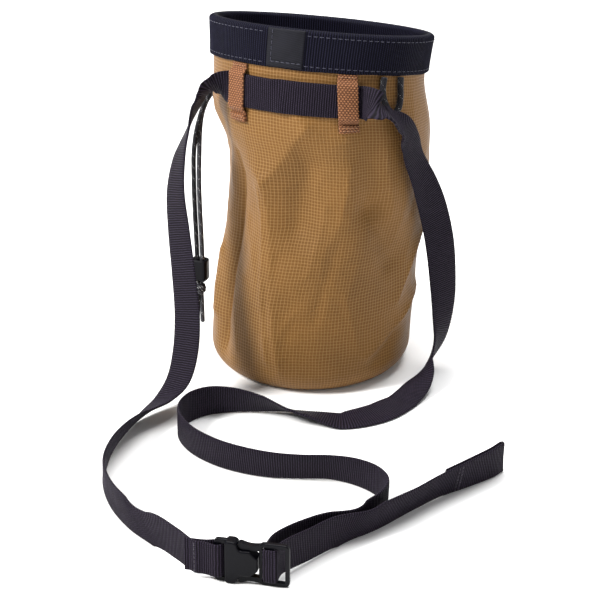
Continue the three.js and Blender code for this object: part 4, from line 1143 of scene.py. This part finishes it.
def folded_end(points, edges):
    """The tail's end turned back on itself behind the tail, as long as the pull loop."""
    reach = belt_thick / 2 + fit / 2
    ahead = unit((points[-1] - points[-2]) * (1, 1, 0))
    behind = np.cross((0, 0, 1.0), ahead)
    added = []
    added_edges = []
    for i in range(1, 13):
        a = i / 12 * math.pi
        added.append(points[-1] + ahead * reach * math.sin(a) + behind * reach * (1 - math.cos(a)))
        added_edges.append(edges[-1])
    run = run_length(points)
    i = len(points) - 2
    while i > 0 and run[-1] - run[i] < pull_loop:
        along = unit((points[i + 1] - points[i - 1]) * (1, 1, 0))
        side = np.cross((0, 0, 1.0), along)
        added.append(points[i] + side * 2 * reach)
        added_edges.append(edges[i])
        i -= 1
    return np.vstack([points, added]), np.vstack([edges, added_edges]), run[-1]



def make_belt():
    """The whole belt in one piece, its ribs as real shape, with its rows of stitches."""
    points, edges, fold_at = belt_line()
    along = unit(np.gradient(points, axis=0))
    edges = unit(edges - along * np.sum(edges * along, axis=1, keepdims=True))
    faces = np.cross(along, edges)
    half = belt_width / 2
    thick = belt_thick / 2
    points = points.copy()
    lowest = np.abs(edges[:, 2]) * half + np.abs(faces[:, 2]) * thick + floor_touch
    points[:, 2] = np.maximum(points[:, 2], lowest)
    run = run_length(points)
    rib = np.cos(run * 2 * math.pi / belt_rib)
    section = [(-half + 0.05, -0.3), (-half + 0.35, -0.75), (-half + 1.2, -1), (-half + 4.5, -1), (0, -1),
               (half - 4.5, -1), (half - 1.2, -1), (half - 0.35, -0.75), (half - 0.05, -0.3)]
    section = section + [(e, -f) for e, f in section[::-1]]
    rings = []
    for e, f in section:
        lift = thick * f * (0.9 + 0.1 * rib)
        rings.append(points + edges * (e * (1 + 0.0015 * rib))[:, None] + faces * lift[:, None])
    rings = np.array(rings).transpose(1, 0, 2)
    across = np.array([e + half for e, f in section] + [section[0][0] + half])
    uv = spread(run[:, None], across[None, :])
    uv = np.vstack([uv, uv[-1:]])
    belt = grid("waist_belt", rings, uv, belt_material, wrap_columns=True, caps=True)
    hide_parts("belt_left", "belt_front", "belt_right", "belt_laid", "belt_tail")

    def stitch_across(name, where, rows=1, reach=0.9):
        """Rows of stitches across the belt, on the face turned away from the bag."""
        for number in range(rows):
            i = int(np.argmin(np.abs(run - (where + number * 1.9))))
            out = faces[i] if faces[i][1] < 0 else -faces[i]
            across_it = edges[i] * np.linspace(-half, half, 24)[:, None] * reach
            line = points[i] + across_it + out * (thick + 0.06)
            stitches(f"{name}_{number}", (line, np.tile(out, (24, 1))), belt_thread,
                     long=1.6, gap=0.5, thick=0.36)

    front_start = 2 * sewn_end + math.pi * 2.7
    stitch_across("sewn_end_stitches", front_start - 2.2, 1)
    stitch_across("pull_loop_stitches", fold_at - pull_loop + 1.6, 2)


# Buckle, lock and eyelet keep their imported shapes, with rounded edges
def dress_moulded(name):
    """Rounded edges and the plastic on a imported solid."""
    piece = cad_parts[name]
    rounded = piece.modifiers.new("rounded", "BEVEL")
    rounded.width = 0.22 * MM
    rounded.segments = 3
    rounded.limit_method = "ANGLE"
    rounded.angle_limit = math.radians(28)
    rounded.harden_normals = True
    if not piece.material_slots:
        piece.data.materials.append(plastic_material)
    for slot in piece.material_slots:
        slot.link = "OBJECT"
        slot.material = plastic_material


make_shell()
make_base()
make_rim()
make_patch()
make_belt_loop("left", loop_turn_left)
make_belt_loop("right", loop_turn_right)
make_belt()
for name in ("buckle_female", "buckle_male", "cord_lock", "cord_eyelet"):
    dress_moulded(name)


# Floor, lights and background
def floor_material():
    made = Shader("floor", roughness=0.9, specular=0.1)
    tone = made.ramp(made.noise(3, 2), [(0.0, (0.93, 0.93, 0.93, 1)), (1.0, (0.96, 0.96, 0.96, 1))])
    return made.finish(tone)


def make_floor():
    mesh = bpy.data.meshes.new("studio_floor")
    reach = 6.0
    mesh.from_pydata([(-reach, -reach, 0), (reach, -reach, 0), (reach, reach, 0), (-reach, reach, 0)], [],
                     [(0, 1, 2, 3)])
    mesh.materials.append(floor_material())
    made = bpy.data.objects.new("studio_floor", mesh)
    scene.collection.objects.link(made)


def add_light(name, place, target, size, power, tone=(1, 1, 1)):
    data = bpy.data.lights.new(name, "AREA")
    data.shape = "DISK"
    data.size = size
    data.energy = power
    data.color = tone
    aimed(name, data, place, target)


make_floor()
add_light("key", (-1.0, -0.85, 1.15), (0, -0.05, 0.08), 0.5, 45, (1.0, 0.99, 0.97))
add_light("fill", (1.2, -1.1, 0.9), (0, -0.05, 0.08), 1.2, 3)
add_light("top", (0.1, 0.4, 1.6), (0, 0, 0.1), 1.2, 34)
world = bpy.data.worlds.new("studio")
world.use_nodes = True
world.node_tree.nodes["Background"].inputs["Color"].default_value = (1, 1, 1, 1)
world.node_tree.nodes["Background"].inputs["Strength"].default_value = 0.32
scene.world = world
scene.view_settings.view_transform = "Standard"
